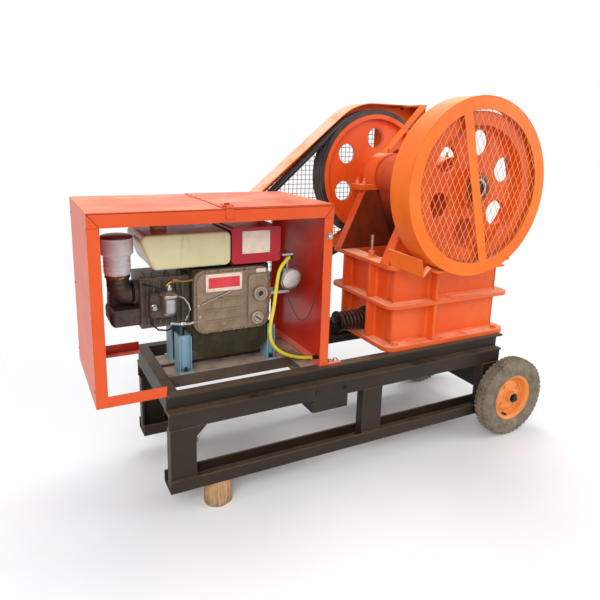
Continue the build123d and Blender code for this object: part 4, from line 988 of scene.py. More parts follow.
    def prism(self, outline: Sequence[Point], way: Point) -> None:
        """Add a plate from a flat outline.

        Args:
            outline: its corners.
            way: its thickness as a vector.
        """
        count = len(outline)
        shift = Vector(way)
        verts = [Vector(p) for p in outline] + [Vector(p) + shift for p in outline]
        faces = [list(range(count))[::-1], list(range(count, 2 * count))]
        faces += [[i, (i + 1) % count, count + (i + 1) % count, count + i] for i in range(count)]
        self.add(verts, faces)

    def cove(self, start: Point, end: Point, first: Axis, second: Axis, radius: float = 13.0) -> None:
        """Add a hollow fillet along an inner corner.

        Args:
            start: one end of the corner.
            end: its other end.
            first: direction in which one wall leaves the corner.
            second: direction in which the other wall leaves it.
            radius: radius of the hollow.
        """
        foot, one, two = Vector(start), Vector(first.value), Vector(second.value)
        middle = foot + (one + two) * radius
        outline = [foot]
        for i in range(7):
            turn = math.pi / 12 * i
            outline.append(middle - two * (radius * math.cos(turn)) - one * (radius * math.sin(turn)))
        self.prism(outline, Vector(end) - foot)

    def ring_plate(self, outer: Sequence[Point], inner: Sequence[Point], way: Point) -> None:
        """Add a plate with a hole.

        Args:
            outer: its outline.
            inner: outline of the hole, with as many points.
            way: its thickness as a vector.
        """
        count = len(outer)
        shift = Vector(way)
        verts = [Vector(p) for p in outer] + [Vector(p) for p in inner]
        verts += [v + shift for v in verts[:2 * count]]
        faces = []
        for i in range(count):
            j = (i + 1) % count
            a, b, c, d = i, j, count + j, count + i
            faces.append([a, d, c, b])
            faces.append([2 * count + a, 2 * count + b, 2 * count + c, 2 * count + d])
            faces.append([a, b, 2 * count + b, 2 * count + a])
            faces.append([d, 2 * count + d, 2 * count + c, c])
        self.add(verts, faces)

    def done(self, body: str = "root", slot: str | None = None, replaces: Sequence[str] = (),
             smooth: float = 38.0) -> None:
        """Make the object, ride it on a body and hide the CAD nodes it stands for.

        Args:
            body: the CAD body that carries it.
            slot: not used.
            replaces: CAD nodes that it stands for.
            smooth: edges sharper than this angle, in degrees, stay sharp.
        """
        mesh = bpy.data.meshes.new(self.name)
        mesh.from_pydata([at(*v) for v in self.verts], [], [face for face, _ in self.faces])
        for polygon, (_, index) in zip(mesh.polygons, self.faces):
            polygon.material_index = index
            polygon.use_smooth = True
        for name in self.finishes:
            mesh.materials.append(self.shop[name])
        made = bmesh.new()
        made.from_mesh(mesh)
        bmesh.ops.recalc_face_normals(made, faces=made.faces)
        made.to_mesh(mesh)
        made.free()
        mesh.set_sharp_from_angle(angle=math.radians(smooth))
        thing = bpy.data.objects.new(self.name, mesh)
        bpy.context.scene.collection.objects.link(thing)
        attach(thing, body)
        if replaces:
            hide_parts(*replaces)
        LOG.info("%s: %d faces on %s", self.name, len(mesh.polygons), body)


@dataclass
class Assembly:
    """A sub-assembly, whose pieces have the finishes of one shop."""

    shop: Shop

    def piece(self, name: str, finish: str) -> Piece:
        """An empty piece with its first finish."""
        return Piece(name, self.shop, finish)

    def dress(self, finish: str, *nodes: str) -> None:
        """Give CAD nodes a finish.

        Args:
            finish: name of the finish.
            *nodes: names of the nodes.
        """
        for node in nodes:
            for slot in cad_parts[node].material_slots:
                slot.material = self.shop[finish]
            LOG.info("%s: %s", node, finish)


def circle(x: float, y: float, z: float, radius: float, count: int, phase: float = 0.0) -> list[Point]:
    """Points round a circle across the shaft's axis."""
    angles = [math.radians(phase) + math.tau * i / count for i in range(count)]
    return [(x + radius * math.cos(angle), y, z + radius * math.sin(angle)) for angle in angles]


@dataclass
class Skid(Assembly):
    """Channel skid with its engine bed, hanging box, axle and support logs."""

    length: float = 1660.0
    rail_top: float = 156.0
    leg_starts: tuple[float, ...] = (4.0, 853.0, 1556.0)
    leg_width: float = 100.0
    leg_face: float = 8.4
    leg_top: float = 364.3
    beam_bottom: float = 427.3
    beam_top: float = 507.3
    flange_edge: float = 43.5
    cross_welds: Flat = (2.0, 41.0)
    gusset: float = 42.0
    gusset_faces: Flat = (9.4, 15.0)
    box_bolts: Flat = (625.0, 757.0)
    box_bolt_seat: Flat = (15.0, 395.0)
    hanger_bolts: tuple[float, ...] = (165.0, 210.0, 350.0, 395.0)
    hanger_bolt_seat: Flat = (1665.0, 400.0)
    log_height: float = 108.0
    log_radius: float = 58.0
    log_taper: float = 5.0

    def build(self) -> None:
        """Dress the steel and add welds, bolts and logs."""
        self.dress("skid_enamel", "near_lower_rail", "far_lower_rail", "near_legs", "far_legs", "near_beam",
                   "far_beam", "left_cross_channel", "right_cross_channel", "hanging_box", "axle")
        self.dress("bed_enamel", "engine_bed")
        self.welds()
        self.fasteners()
        self.log(Side.NEAR, 3)
        self.log(Side.FAR, 8)

    def welds(self) -> None:
        """Beads at both ends of the legs and cross channels, and gussets at the left legs."""
        beads = self.piece("skid_welds", "skid_enamel")
        first, second = self.cross_welds
        seed = 1
        for side in Side:
            y = side.inset(self.leg_face)
            for x in self.leg_starts:
                for z in (self.rail_top + 1, self.leg_top):
                    beads.bead((x, y, z), (x + self.leg_width, y, z), 3.2, seed)
                    seed += 1
            inner = side.inset(self.flange_edge)
            for x in (first, second, self.length - second, self.length - first):
                beads.bead((x, inner, self.beam_bottom + 3), (x, inner, self.beam_top - 2), 3.0, seed)
                seed += 1
        corner, top = self.leg_starts[0] + self.leg_width, self.leg_top + 2
        for side in Side:
            y0, y1 = (side.inset(y) for y in self.gusset_faces)
            beads.prism([(corner, y0, top), (corner + self.gusset, y0, top), (corner, y0, top - self.gusset)],
                        (0, y1 - y0, 0))
        beads.done(slot="skid_paint")

    def fasteners(self) -> None:
        """Bolts of the hanging box and the axle's hangers."""
        bolts = self.piece("skid_bolts", "black_steel")
        for x in self.box_bolts:
            bolts.bolt((x, *self.box_bolt_seat), Axis.NEAR, 16.0, 8.0)
        x, z = self.hanger_bolt_seat
        for y in self.hanger_bolts:
            bolts.bolt((x, y, z), Axis.X, 16.0, 8.0)
        bolts.done(slot="skid_paint")

    def log(self, side: Side, seed: int) -> None:
        """A stub of log under a rail, a little uneven all round.

        Args:
            side: side of the rail.
            seed: start of its random waves.
        """
        pick = random.Random(seed)
        stub = self.piece(f"{side.value}_support_log", f"{side.value}_log_timber")
        y = side.inset(LOG_INSET)
        steps, rows = 36, 9
        waves = [(pick.random() * 6.28, pick.uniform(0.4, 1.6), k) for k in (2, 3, 5, 7)]
        verts: list[Point] = []
        for j in range(rows + 1):
            height = self.log_height * j / rows
            edge = 2.2 if j in (0, rows) else 0.0
            for i in range(steps):
                angle = math.tau * i / steps
                wave = sum(size * math.sin(k * angle + phase + j * 0.15) for phase, size, k in waves)
                radius = self.log_radius - self.log_taper * j / rows - 2.0 + wave * 0.7 - edge
                verts.append((LOG_X + radius * math.cos(angle), y + radius * math.sin(angle), height))
        faces = []
        for low in range(0, rows * steps, steps):
            for i in range(steps):
                j = (i + 1) % steps
                faces.append([low + i, low + j, low + steps + j, low + steps + i])
        faces.append(list(range(steps))[::-1])
        faces.append(list(range(rows * steps, (rows + 1) * steps)))
        stub.add(verts, faces)
        stub.done(slot="log_wood", replaces=[f"{side.value}_log"])


@dataclass
class Wheel(Assembly):
    """Barrow wheel: block-tread tyre on a dished rim with a hub, nut and valve."""

    side: Side
    x: float = 1685.0
    z: float = 200.0
    outside: float = 54.0
    radius: float = 200.0
    carcass: float = 191.0
    blocks: int = 46
    ribs: int = 72

    @property
    def y(self) -> float:
        """Middle of the wheel's width."""
        return self.side.inset(-self.outside)

    def build(self) -> None:
        """Make the tyre, the rim and the nut."""
        self.tyre()
        self.rim()
        self.nut()

    def tyre(self) -> None:
        """Carcass with ribbed sides and rows of slanting tread blocks."""
        name = self.side.value
        tyre = self.piece(f"{name}_tyre_dressed", "tyre_rubber")
        half = [(106, 24), (112, 27), (118, 34), (132, 39), (148, 41.5), (151, 41.9), (154, 41.5), (168, 40),
                (182, 35.5), (189, 30), (192.5, 22), (194, 8)]
        line = [(radius, -y) for radius, y in half] + half[::-1]
        tyre.turned((self.x, self.y, self.z), Axis.FAR, line, 96)
        rows = ((-30.0, -11.0, 5.0), (-8.0, 8.0, -5.0), (11.0, 30.0, 5.0))
        for row, (low, high, lean) in enumerate(rows):
            for i in range(self.blocks):
                angle = math.tau * (i + 0.5 * (row % 2)) / self.blocks
                self.tread_block(tyre, angle, low, high, lean)
        for i in range(self.ribs):
            for face in (-1, 1):
                self.side_rib(tyre, math.tau * i / self.ribs, face)
        tyre.done(f"{name}_wheel", "tyre_rubber", [f"{name}_tyre"], 30.0)

    def spot(self, angle: float, radius: float, y: float) -> Vector:
        """A point of the wheel by angle, radius and side offset."""
        return Vector((self.x + radius * math.cos(angle), self.y + y, self.z + radius * math.sin(angle)))

    def tread_block(self, tyre: Piece, angle: float, low: float, high: float, lean: float) -> None:
        """Add a tread block that is narrower at its top.

        Args:
            tyre: the piece it belongs to.
            angle: its place round the tyre.
            low: side offset of one end.
            high: side offset of the other end.
            lean: how far each end is moved round the tyre.
        """
        wide = math.pi / self.blocks * 0.66
        turn = lean / self.radius
        top = self.radius - 0.8 - 0.0022 * max(abs(low), abs(high)) ** 2 * 1.6
        verts = []
        for radius, share, narrow in ((self.carcass, 1.0, 1.0), (top, 0.8, 0.98)):
            for y, tilt in ((low, -turn), (high, turn)):
                for sign in (-1, 1):
                    verts.append(self.spot(angle + tilt + sign * wide * share, radius, y * narrow))
        tyre.add(verts, BLOCK_FACES)

    def side_rib(self, tyre: Piece, angle: float, face: int) -> None:
        """Add a short rib on the tyre's shoulder.

        Args:
            tyre: the piece it belongs to.
            angle: its place round the tyre.
            face: sign of its side.
        """
        foot, crown = 0.012, 0.012 * 0.6
        verts = []
        for radius, y, lift, wide in ((168.0, 39.6, 0.0, foot), (186.0, 32.6, 0.0, foot),
                                      (168.0, 39.6, 1.7, crown), (186.0, 32.6, 2.0, crown)):
            for sign in (-1, 1):
                verts.append(self.spot(angle + sign * wide, radius + lift * 0.5, face * (y + lift - 0.4)))
        tyre.add(verts, BLOCK_FACES)

    def rim(self) -> None:
        """Pressed rim, dished disc, tube hub, bolts and valve."""
        name, out, axis = self.side.value, self.side.outward, self.side.axis
        rim = self.piece(f"{name}_rim_dressed", "rim_enamel")
        disc = [(12.6, 33), (27, 33), (29, 31), (29, 9), (33, 5), (44, 4), (58, 7), (70, 3), (80, -4),
                (88, -6), (94, -2), (98, 10), (100, 20), (104, 24.5), (111, 27), (114, 30.5), (115.5, 30),
                (114.5, 26.5), (107, 23), (103.5, 18), (102, 6), (102, -18), (105, -23), (112, -27),
                (115, -30.5), (112, -30), (103, -25), (99, -20), (98, -8), (90, -10), (80, -8), (70, -1),
                (58, 3), (44, 0), (33, 1), (29, -4), (29, -33), (12.6, -33)]
        rim.turned((self.x, self.y, self.z), axis, disc + [disc[0]], 72)
        for degrees in (35, 125, 215, 305):
            rim.bolt(tuple(self.spot(math.radians(degrees), 62.0, out * 6.6)), axis, 12.0, 5.0, False)
        rim.finish("black_steel")
        valve = self.spot(math.radians(250), 92.0, out * 3.0)
        rim.turned(tuple(valve), axis, [(4, 0), (4, 16), (5, 16), (5, 24), (3.4, 26), (0, 26)], 12)
        rim.done(f"{name}_wheel", "rim_paint", [f"{name}_rim"], 32.0)

    def nut(self) -> None:
        """Washer and nut on the fixed axle."""
        out, axis = self.side.outward, self.side.axis
        nut = self.piece(f"{self.side.value}_axle_nut", "black_steel")
        nut.turned((self.x, self.y + out * 33.6, self.z), axis, [(12.6, 0), (23, 0), (23, 3), (12.6, 3)], 28)
        nut.bolt((self.x, self.y + out * 36.6, self.z), axis, 26.0, 10.0, False, 6.0)
        nut.done("root", "skid_paint")


@dataclass
class Crusher(Assembly):
    """Crusher body, bearings, jaws, tension rod and rotor."""

    base_z: float = 507.3
    mid_z: float = 702.3
    top_z: float = 897.3
    base_belt: float = 20.0
    mid_belt: float = 16.0
    top_belt: float = 18.0
    left: float = 973.0
    right: float = 1703.0
    near: float = 22.0
    corner_radius: float = 54.0
    wall: float = 77.0
    wall_inside: float = 115.0
    rear: float = 1028.0
    rear_thickness: float = 30.0
    front: float = 1648.0
    rib_x: float = 1242.0
    rib_thickness: float = 17.0
    rib_setback: float = 8.0
    rear_ribs: Flat = (207.0, 420.0)
    seat_gap: float = 0.3
    rod: Flat = (280.0, 588.0)
    spring: Flat = (876.0, 1008.0)
    spring_radius: float = 41.0
    spring_wire: float = 6.6
    spring_turns: float = 6.5
    stud: Flat = (1042.0, 275.0)
    bearing_middle: float = 67.0
    bearing_face: float = 5.0
    bearing_foot: float = 1208.6
    bearing_top: float = 1362.0
    foot_bolts: Flat = (158.0, 30.0)
    cover_screws: float = 66.0
    hub_faces: Flat = (-134.0, 686.0)
    shaft_faces: Flat = (-140.0, 696.0)

    def build(self) -> None:
        """Dress the castings and plates and add fasteners and welds."""
        self.dress("body_enamel", "front_wall", "near_cheek", "near_bearing", "far_bearing")
        self.dress("cheek_enamel", "far_cheek")
        self.dress("jaw_enamel", "swing_jaw")
        self.dress("wheel_enamel", "flywheel")
        self.dress("pulley_enamel", "crusher_pulley")
        self.dress("jaw_iron", "swing_jaw_plate", "fixed_jaw_plate")
        self.dress("bright_steel", "eccentric_shaft")
        self.dress("belt_rubber", "drive_belts")
        self.welds()
        self.fasteners()
        self.bearing_bolts()
        self.shaft_ends()
        for side in Side:
            self.side_casting(side)
        self.rear_casting()
        self.tension()

    def bays(self) -> list[Flat]:
        """Heights of the two bays between the belts of plate."""
        belts = self.belts()
        return [(low[1], high[0]) for low, high in zip(belts, belts[1:])]

    def belts(self) -> list[Flat]:
        """Heights of the three belts of plate."""
        return [(self.base_z, self.base_z + self.base_belt), (self.mid_z, self.mid_z + self.mid_belt),
                (self.top_z - self.top_belt, self.top_z)]

    def belt_edge(self) -> list[Flat]:
        """Outline of a belt on the near side, with round corners.

        Returns:
            Points in X and Y.
        """
        radius = self.corner_radius
        edge = [(self.left, self.wall)]
        for x, start in ((self.left + radius, 180), (self.right - radius, 270)):
            for i in range(9):
                turn = math.radians(start + 90 * i / 8)
                edge.append((x + radius * math.cos(turn), self.near + radius + radius * math.sin(turn)))
        return edge + [(self.right, self.wall)]

    def side_casting(self, side: Side) -> None:
        """One side wall with its belts, a thin rib and hollow fillets.

        Args:
            side: side of the wall.
        """
        cast = self.piece(f"{side.value}_side_cast", "body_enamel")
        out, wall, inside = side.axis, side.inset(self.wall), side.inset(self.wall_inside)
        cast.block((self.rear, wall, self.base_z), (self.front, inside, self.top_z), 3.0)
        for low, high in self.belts():
            cast.prism([(x, side.inset(y), low) for x, y in self.belt_edge()], (0, 0, high - low))
        left, right = self.rib_x - self.rib_thickness / 2, self.rib_x + self.rib_thickness / 2
        for low, high in self.bays():
            cast.block((left, side.inset(self.near + self.rib_setback), low), (right, wall, high), 2.5)
            for x0, x1, x, way in ((self.rear, left, left, Axis.LEFT), (right, self.front, right, Axis.X)):
                cast.cove((x0, wall, low), (x1, wall, low), out, Axis.Z)
                cast.cove((x0, wall, high), (x1, wall, high), out, Axis.DOWN)
                cast.cove((x, wall, low), (x, wall, high), way, out)
        cast.done(slot="body_paint", replaces=[f"{side.value}_side_frame"], smooth=40.0)

    def rear_casting(self) -> None:
        """Rear wall with its belts, two thin ribs beside the spring and hollow fillets."""
        cast = self.piece("rear_wall_cast", "body_enamel")
        first, last = self.wall + self.seat_gap, WIDTH - self.wall - self.seat_gap
        inside, back = self.wall_inside + self.seat_gap, self.rear + self.rear_thickness
        cast.block((self.rear, inside, self.base_z), (back, WIDTH - inside, self.top_z), 2.0)
        for low, high in self.belts():
            cast.block((self.left, first, low), (self.rear, last, high), 2.0)
        half = self.rib_thickness / 2
        marks = [first] + [y + side for y in self.rear_ribs for side in (-half, half)] + [last]
        for low, high in self.bays():
            for y in self.rear_ribs:
                cast.block((self.left + self.rib_setback, y - half, low), (self.rear, y + half, high), 2.5)
                cast.cove((self.rear, y - half, low), (self.rear, y - half, high), Axis.LEFT, Axis.NEAR)
                cast.cove((self.rear, y + half, low), (self.rear, y + half, high), Axis.LEFT, Axis.FAR)
            for y0, y1 in zip(marks[::2], marks[1::2]):
                cast.cove((self.rear, y0, low), (self.rear, y1, low), Axis.LEFT, Axis.Z)
                cast.cove((self.rear, y0, high), (self.rear, y1, high), Axis.LEFT, Axis.DOWN)
        cast.done(slot="body_paint", replaces=["rear_wall"], smooth=40.0)

    def tension(self) -> None:
        """Rod to the swing jaw with its coil spring, seats and nuts."""
        gear = self.piece("tension_gear", "spring_steel")
        (first, last), (y, z), coil = self.spring, self.rod, self.spring_radius
        per_turn = 24
        count = int(per_turn * self.spring_turns)
        line = []
        for i in range(count + 1):
            x, angle = first + (last - first) * i / count, math.tau * i / per_turn
            line.append((x, y + coil * math.cos(angle), z + coil * math.sin(angle)))
        gear.rod(line, self.spring_wire, 10, over=Axis.X)
        gear.finish("black_steel")
        rod = [(0, 838), (13, 838), (15, 842), (15, 1460), (0, 1460)]
        left_seat = [(15, 866), (50, 866), (51, 868), (51, 872), (15, 872)]
        right_seat = [(15, 1012), (52, 1012), (52, 1022), (58, 1024), (58, 1028), (15, 1028)]
        for section, steps in ((rod, 24), (left_seat, 40), (right_seat, 40)):
            gear.turned((0, y, z), Axis.X, section, steps)
        gear.bolt((866, y, z), Axis.LEFT, 44.0, 15.0, False)
        gear.done(slot="dark_steel", replaces=["tension_rod", "tension_spring"])

    def welds(self) -> None:
        """Beads where the front wall's belts and the walls' upright corners meet."""
        beads = self.piece("body_welds", "body_enamel")
        seed = 40
        x = self.front + 0.5
        for low, high in self.bays():
            for z in (low + 0.5, high - 0.5):
                beads.bead((x, self.wall, z), (x, WIDTH - self.wall, z), 4.2, seed)
                seed += 1
        for x in (self.rear + 4, self.front - 4):
            for y in (self.wall - self.seat_gap, WIDTH - self.wall + self.seat_gap):
                for low, high in self.bays():
                    beads.bead((x, y, low + 2), (x, y, high - 2), 2.6, seed)
                    seed += 1
        beads.done(slot="body_paint")

    def fasteners(self) -> None:
        """Hold-down bolts on the base and studs with nuts on the top flange."""
        bolts = self.piece("body_bolts", "body_enamel")
        for x in (self.left + 62, self.right - 62):
            for y in (self.near + 26, WIDTH - self.near - 26):
                bolts.bolt((x, y, self.base_z + self.base_belt), Axis.Z, 26.0, 10.0, True, 4.0)
        stud = (*self.stud, self.top_z)
        bolts.bolt(stud, Axis.Z, 30.0, 20.0, True)
        bolts.finish("boss_iron")
        bolts.turned(stud, Axis.Z, [(7, 18), (7, 92), (5.5, 96), (0, 96)], 20)
        for z in range(52, 92, 4):
            bolts.turned(stud, Axis.Z, [(7, z), (8, z + 1), (8, z + 2), (7, z + 3)], 20)
        bolts.finish("body_enamel")
        for y in (150.0, 410.0):
            bolts.bolt((self.right - 26, y, self.top_z), Axis.Z, 24.0, 14.0, True, 12.0)
        bolts.done(slot="body_paint")

    def bearing_bolts(self) -> None:
        """Foot bolts, end-cover screws and a grease nipple on each bearing."""
        bolts = self.piece("bearing_bolts", "body_enamel")
        nipple = [(7, 0), (7, 6), (4, 8), (4, 14), (6, 16), (4, 20), (0, 20)]
        along, across = self.foot_bolts
        for side in Side:
            middle = side.inset(self.bearing_middle)
            for dx in (-along, along):
                for dy in (-across, across):
                    foot = (SHAFT_X + dx, middle + dy, self.bearing_foot)
                    bolts.bolt(foot, Axis.Z, 24.0, 15.0, True, 14.0)
            for spot in circle(SHAFT_X, side.inset(self.bearing_face), SHAFT_Z, self.cover_screws, 6, 30):
                bolts.bolt(spot, side.axis, 14.0, 7.0, False)
            bolts.finish("old_brass")
            bolts.turned((SHAFT_X, middle, self.bearing_top), Axis.Z, nipple, 12)
            bolts.finish("body_enamel")
        bolts.done(slot="body_paint")

    def shaft_ends(self) -> None:
        """Keys, washers and screws at both ends of the shaft."""
        ends = self.piece("shaft_ends", "wheel_enamel")
        x, z = SHAFT_X, SHAFT_Z
        for side, y in zip(Side, self.hub_faces):
            ends.turned((x, y, z), side.axis, [(41, 0), (58, 0), (58, 5), (55, 7), (41, 7)], 40)
            ends.block((x - 9, y, z + 38), (x + 9, y + 5 * side.outward, z + 54), 1.5)
        ends.finish("black_steel")
        for side, y in zip(Side, self.shaft_faces):
            ends.turned((x, y, z), side.axis, [(0, 0), (30, 0), (30, 2), (0, 3)], 30)
            ends.bolt((x, y + 2 * side.outward, z), side.axis, 20.0, 5.0, False)
        ends.done("rotor", "wheel_paint")


@dataclass
class FlywheelGuard(Assembly):
    """Drum round the flywheel: band, front ring, slanting bar and expanded metal."""

    x: float = SHAFT_X
    z: float = SHAFT_Z
    radius: float = 366.0
    window: float = 312.0
    front: float = -152.0
    thick: float = 4.0
    across: float = 32.0
    along: float = 62.0
    strand: float = 1.0
    bar: float = 45.0
    tilt: float = 14.5
    bar_shift: float = 28.0
    steps: int = 128
    tray: tuple[Point, ...] = ((976.0, 60.0, 973.0), (992.0, 60.0, 900.0), (1023.0, -122.0, 884.0),
                               (1007.0, -122.0, 957.0))
    tray_thickness: Point = (4.35, 0.66, 0.95)
    lip: tuple[Point, ...] = ((1023.0, -122.0, 884.0), (1061.0, -122.0, 923.0), (1058.0, -98.0, 927.0),
                              (1020.0, -98.0, 889.0))
    lip_thickness: Point = (2.4, 0.6, -1.8)

    def build(self) -> None:
        """Dress the band and make the front and the plate under the drum."""
        self.dress("guard_enamel", "flywheel_guard_band")
        self.front_ring()
        self.bracket_plate()

    def front_ring(self) -> None:
        """Ring plate with its bar, and the expanded metal welded behind it."""
        face = self.piece("flywheel_guard_face", "guard_enamel")
        y0, y1 = self.front, self.front + self.thick
        rim = circle(self.x, y0 + 0.6, self.z, self.radius, self.steps)
        hole = circle(self.x, y0 + 0.6, self.z, self.window, self.steps)
        face.ring_plate(rim, hole, (0, self.thick - 0.6, 0))
        face.rod(circle(self.x, y0 + 2.6, self.z, self.radius - 1.4, self.steps), 2.4, 8, True)
        lean = Matrix.Translation((self.x - self.bar_shift, 0, self.z))
        lean = lean @ Matrix.Rotation(math.radians(-self.tilt), 4, "Y")
        reach = self.window + 20
        face.block((-self.bar / 2, y0 + 0.2, -reach), (self.bar / 2, y1 - 0.4, reach), 1.0, lean)
        face.finish("mesh_enamel")
        slope = math.atan2(self.along, self.across)
        for turn, behind in ((slope, 0.2), (math.pi - slope, 1.6)):
            self.strands(face, turn, y1 + behind)
        face.done(slot="guard_paint", replaces=["flywheel_guard_front"])

    def bracket_plate(self) -> None:
        """Sloping plate under the drum with its bent lip."""
        plate = self.piece("guard_bracket_plate", "cover_enamel")
        plate.prism(self.tray, self.tray_thickness)
        plate.prism(self.lip, self.lip_thickness)
        plate.done(slot="guard_paint")

    def strands(self, face: Piece, turn: float, y: float) -> None:
        """Add one of the two sets of slanting strands.

        Args:
            face: the piece they belong to.
            turn: their angle.
            y: their place in depth.
        """
        way = Vector((math.cos(turn), 0, math.sin(turn)))
        side = Vector((-way.z, 0, way.x))
        pitch = self.across * abs(math.sin(turn))
        reach = self.window + 14
        lines = int(reach / pitch)
        for i in range(-lines, lines + 1):
            away = (i + 0.25) * pitch
            if abs(away) >= reach:
                continue
            half = math.sqrt(reach * reach - away * away)
            middle = Vector((self.x, y, self.z)) + side * away
            a, b = middle - way * half, middle + way * half
            face.rod([a, b], self.strand, 6)


@dataclass
class BeltGuard(Assembly):
    """Cover over the belts with a wire window on its far side."""

    drive: Flat = (395.0, 765.0)
    nose: float = 150.0
    slope: float = 40.222
    top: float = 1609.0
    end: float = 1608.0
    end_low: float = 1000.0
    depth: float = 120.0
    net_end: float = 1360.0
    bend: float = 110.0
    low_reach: float = 330.0
    far: float = 770.0
    sheet: float = 3.0
    border: float = 58.0
    net_overlap: float = 14.0
    pitch: float = 24.0
    wire: float = 1.5
    stay_bolt: Point = (1486.0, 700.0, 1597.8)

    def build(self) -> None:
        """Dress the cover and make the wire window."""
        self.dress("cover_enamel", "belt_guard_cover")
        self.dress("guard_enamel", "guard_stay", "guard_foot")
        self.window()
        self.trim()

    @cached_property
    def outline(self) -> list[Flat]:
        """The guard's outline, closed by its open lower edge.

        Returns:
            Points in X and Z.
        """
        s = math.radians(self.slope)
        x, z = self.drive
        points = []
        for i in range(19):
            angle = math.radians(-90) - (math.pi - s) * i / 18
            points.append((x + self.nose * math.cos(angle), z + self.nose * math.sin(angle)))
        nx, nz = points[-1]
        rise = nx + (self.top - nz) / math.tan(s)
        radius = self.bend / math.tan(s / 2)
        bend_x, bend_z = rise + self.bend, self.top - radius
        for i in range(9):
            angle = math.radians(90) + s * (1 - i / 8)
            points.append((bend_x + radius * math.cos(angle), bend_z + radius * math.sin(angle)))
        points += [(self.end, self.top), (self.end, self.end_low), (x + self.low_reach, z - self.nose)]
        return points

    def inset(self, amount: float) -> list[Flat]:
        """The outline moved inwards.

        Args:
            amount: how far.

        Returns:
            Points in X and Z.
        """
        count = len(self.outline)
        moved = []
        for i in range(count):
            a, b, c = (Vector(self.outline[(i + k) % count]) for k in (-1, 0, 1))
            u, v = (b - a).normalized(), (c - b).normalized()
            n, m = Vector((u.y, -u.x)), Vector((v.y, -v.x))
            mid = (n + m).normalized()
            moved.append(tuple(b + mid * (amount / max(0.35, mid.dot(n)))))
        return moved

    def window(self) -> None:
        """Plain border with a square wire net in it."""
        net = self.piece("belt_guard_window", "guard_enamel")
        y0 = self.far - self.sheet
        outer = [(x, y0, z) for x, z in self.inset(0.4)]
        hole = [(min(x, self.net_end), z) for x, z in self.inset(self.border)]
        net.ring_plate(outer, [(x, y0, z) for x, z in hole], (0, self.sheet, 0))
        net.finish("net_steel")
        lap = self.net_overlap
        reach = [(min(x, self.net_end + lap), z) for x, z in self.inset(self.border - lap)]
        lows = [min(p[k] for p in reach) for k in (0, 1)]
        highs = [max(p[k] for p in reach) for k in (0, 1)]
        for axis, depth in ((0, y0 - 0.4), (1, y0 - 2.6)):
            count = int((highs[axis] - lows[axis]) / self.pitch)
            for i in range(1, count):
                value = lows[axis] + i * self.pitch
                for stretch in self.crossings(reach, axis, value):
                    ends = [(value, depth, end) if axis == 0 else (end, depth, value) for end in stretch]
                    net.rod(ends, self.wire, 6)
        net.done(slot="guard_paint", replaces=["belt_guard_plate"])

    @staticmethod
    def crossings(outline: Sequence[Flat], axis: int, value: float) -> list[Flat]:
        """Stretches of a straight line that lie inside an outline.

        Args:
            outline: corners in X and Z.
            axis: 0 for an upright line, 1 for a level one.
            value: the line's place on that axis.

        Returns:
            Start and end of each stretch.
        """
        hits = []
        for a, b in zip(outline, list(outline[1:]) + [outline[0]]):
            if (a[axis] - value) * (b[axis] - value) < 0:
                share = (value - a[axis]) / (b[axis] - a[axis])
                hits.append(a[1 - axis] + share * (b[1 - axis] - a[1 - axis]))
        hits.sort()
        return list(zip(hits[::2], hits[1::2]))

    def trim(self) -> None:
        """Rolled lip along the cover's open edge, and bolts at the stay."""
        lip = self.piece("belt_guard_lip", "guard_enamel")
        edge = [(x, self.far - self.depth + 2, z) for x, z in self.inset(2.2)[:-1]]
        lip.rod(edge, 3.0, 8)
        lip.finish("black_steel")
        lip.bolt(self.stay_bolt, Axis.DOWN, 16.0, 8.0)
        lip.done(slot="guard_paint")


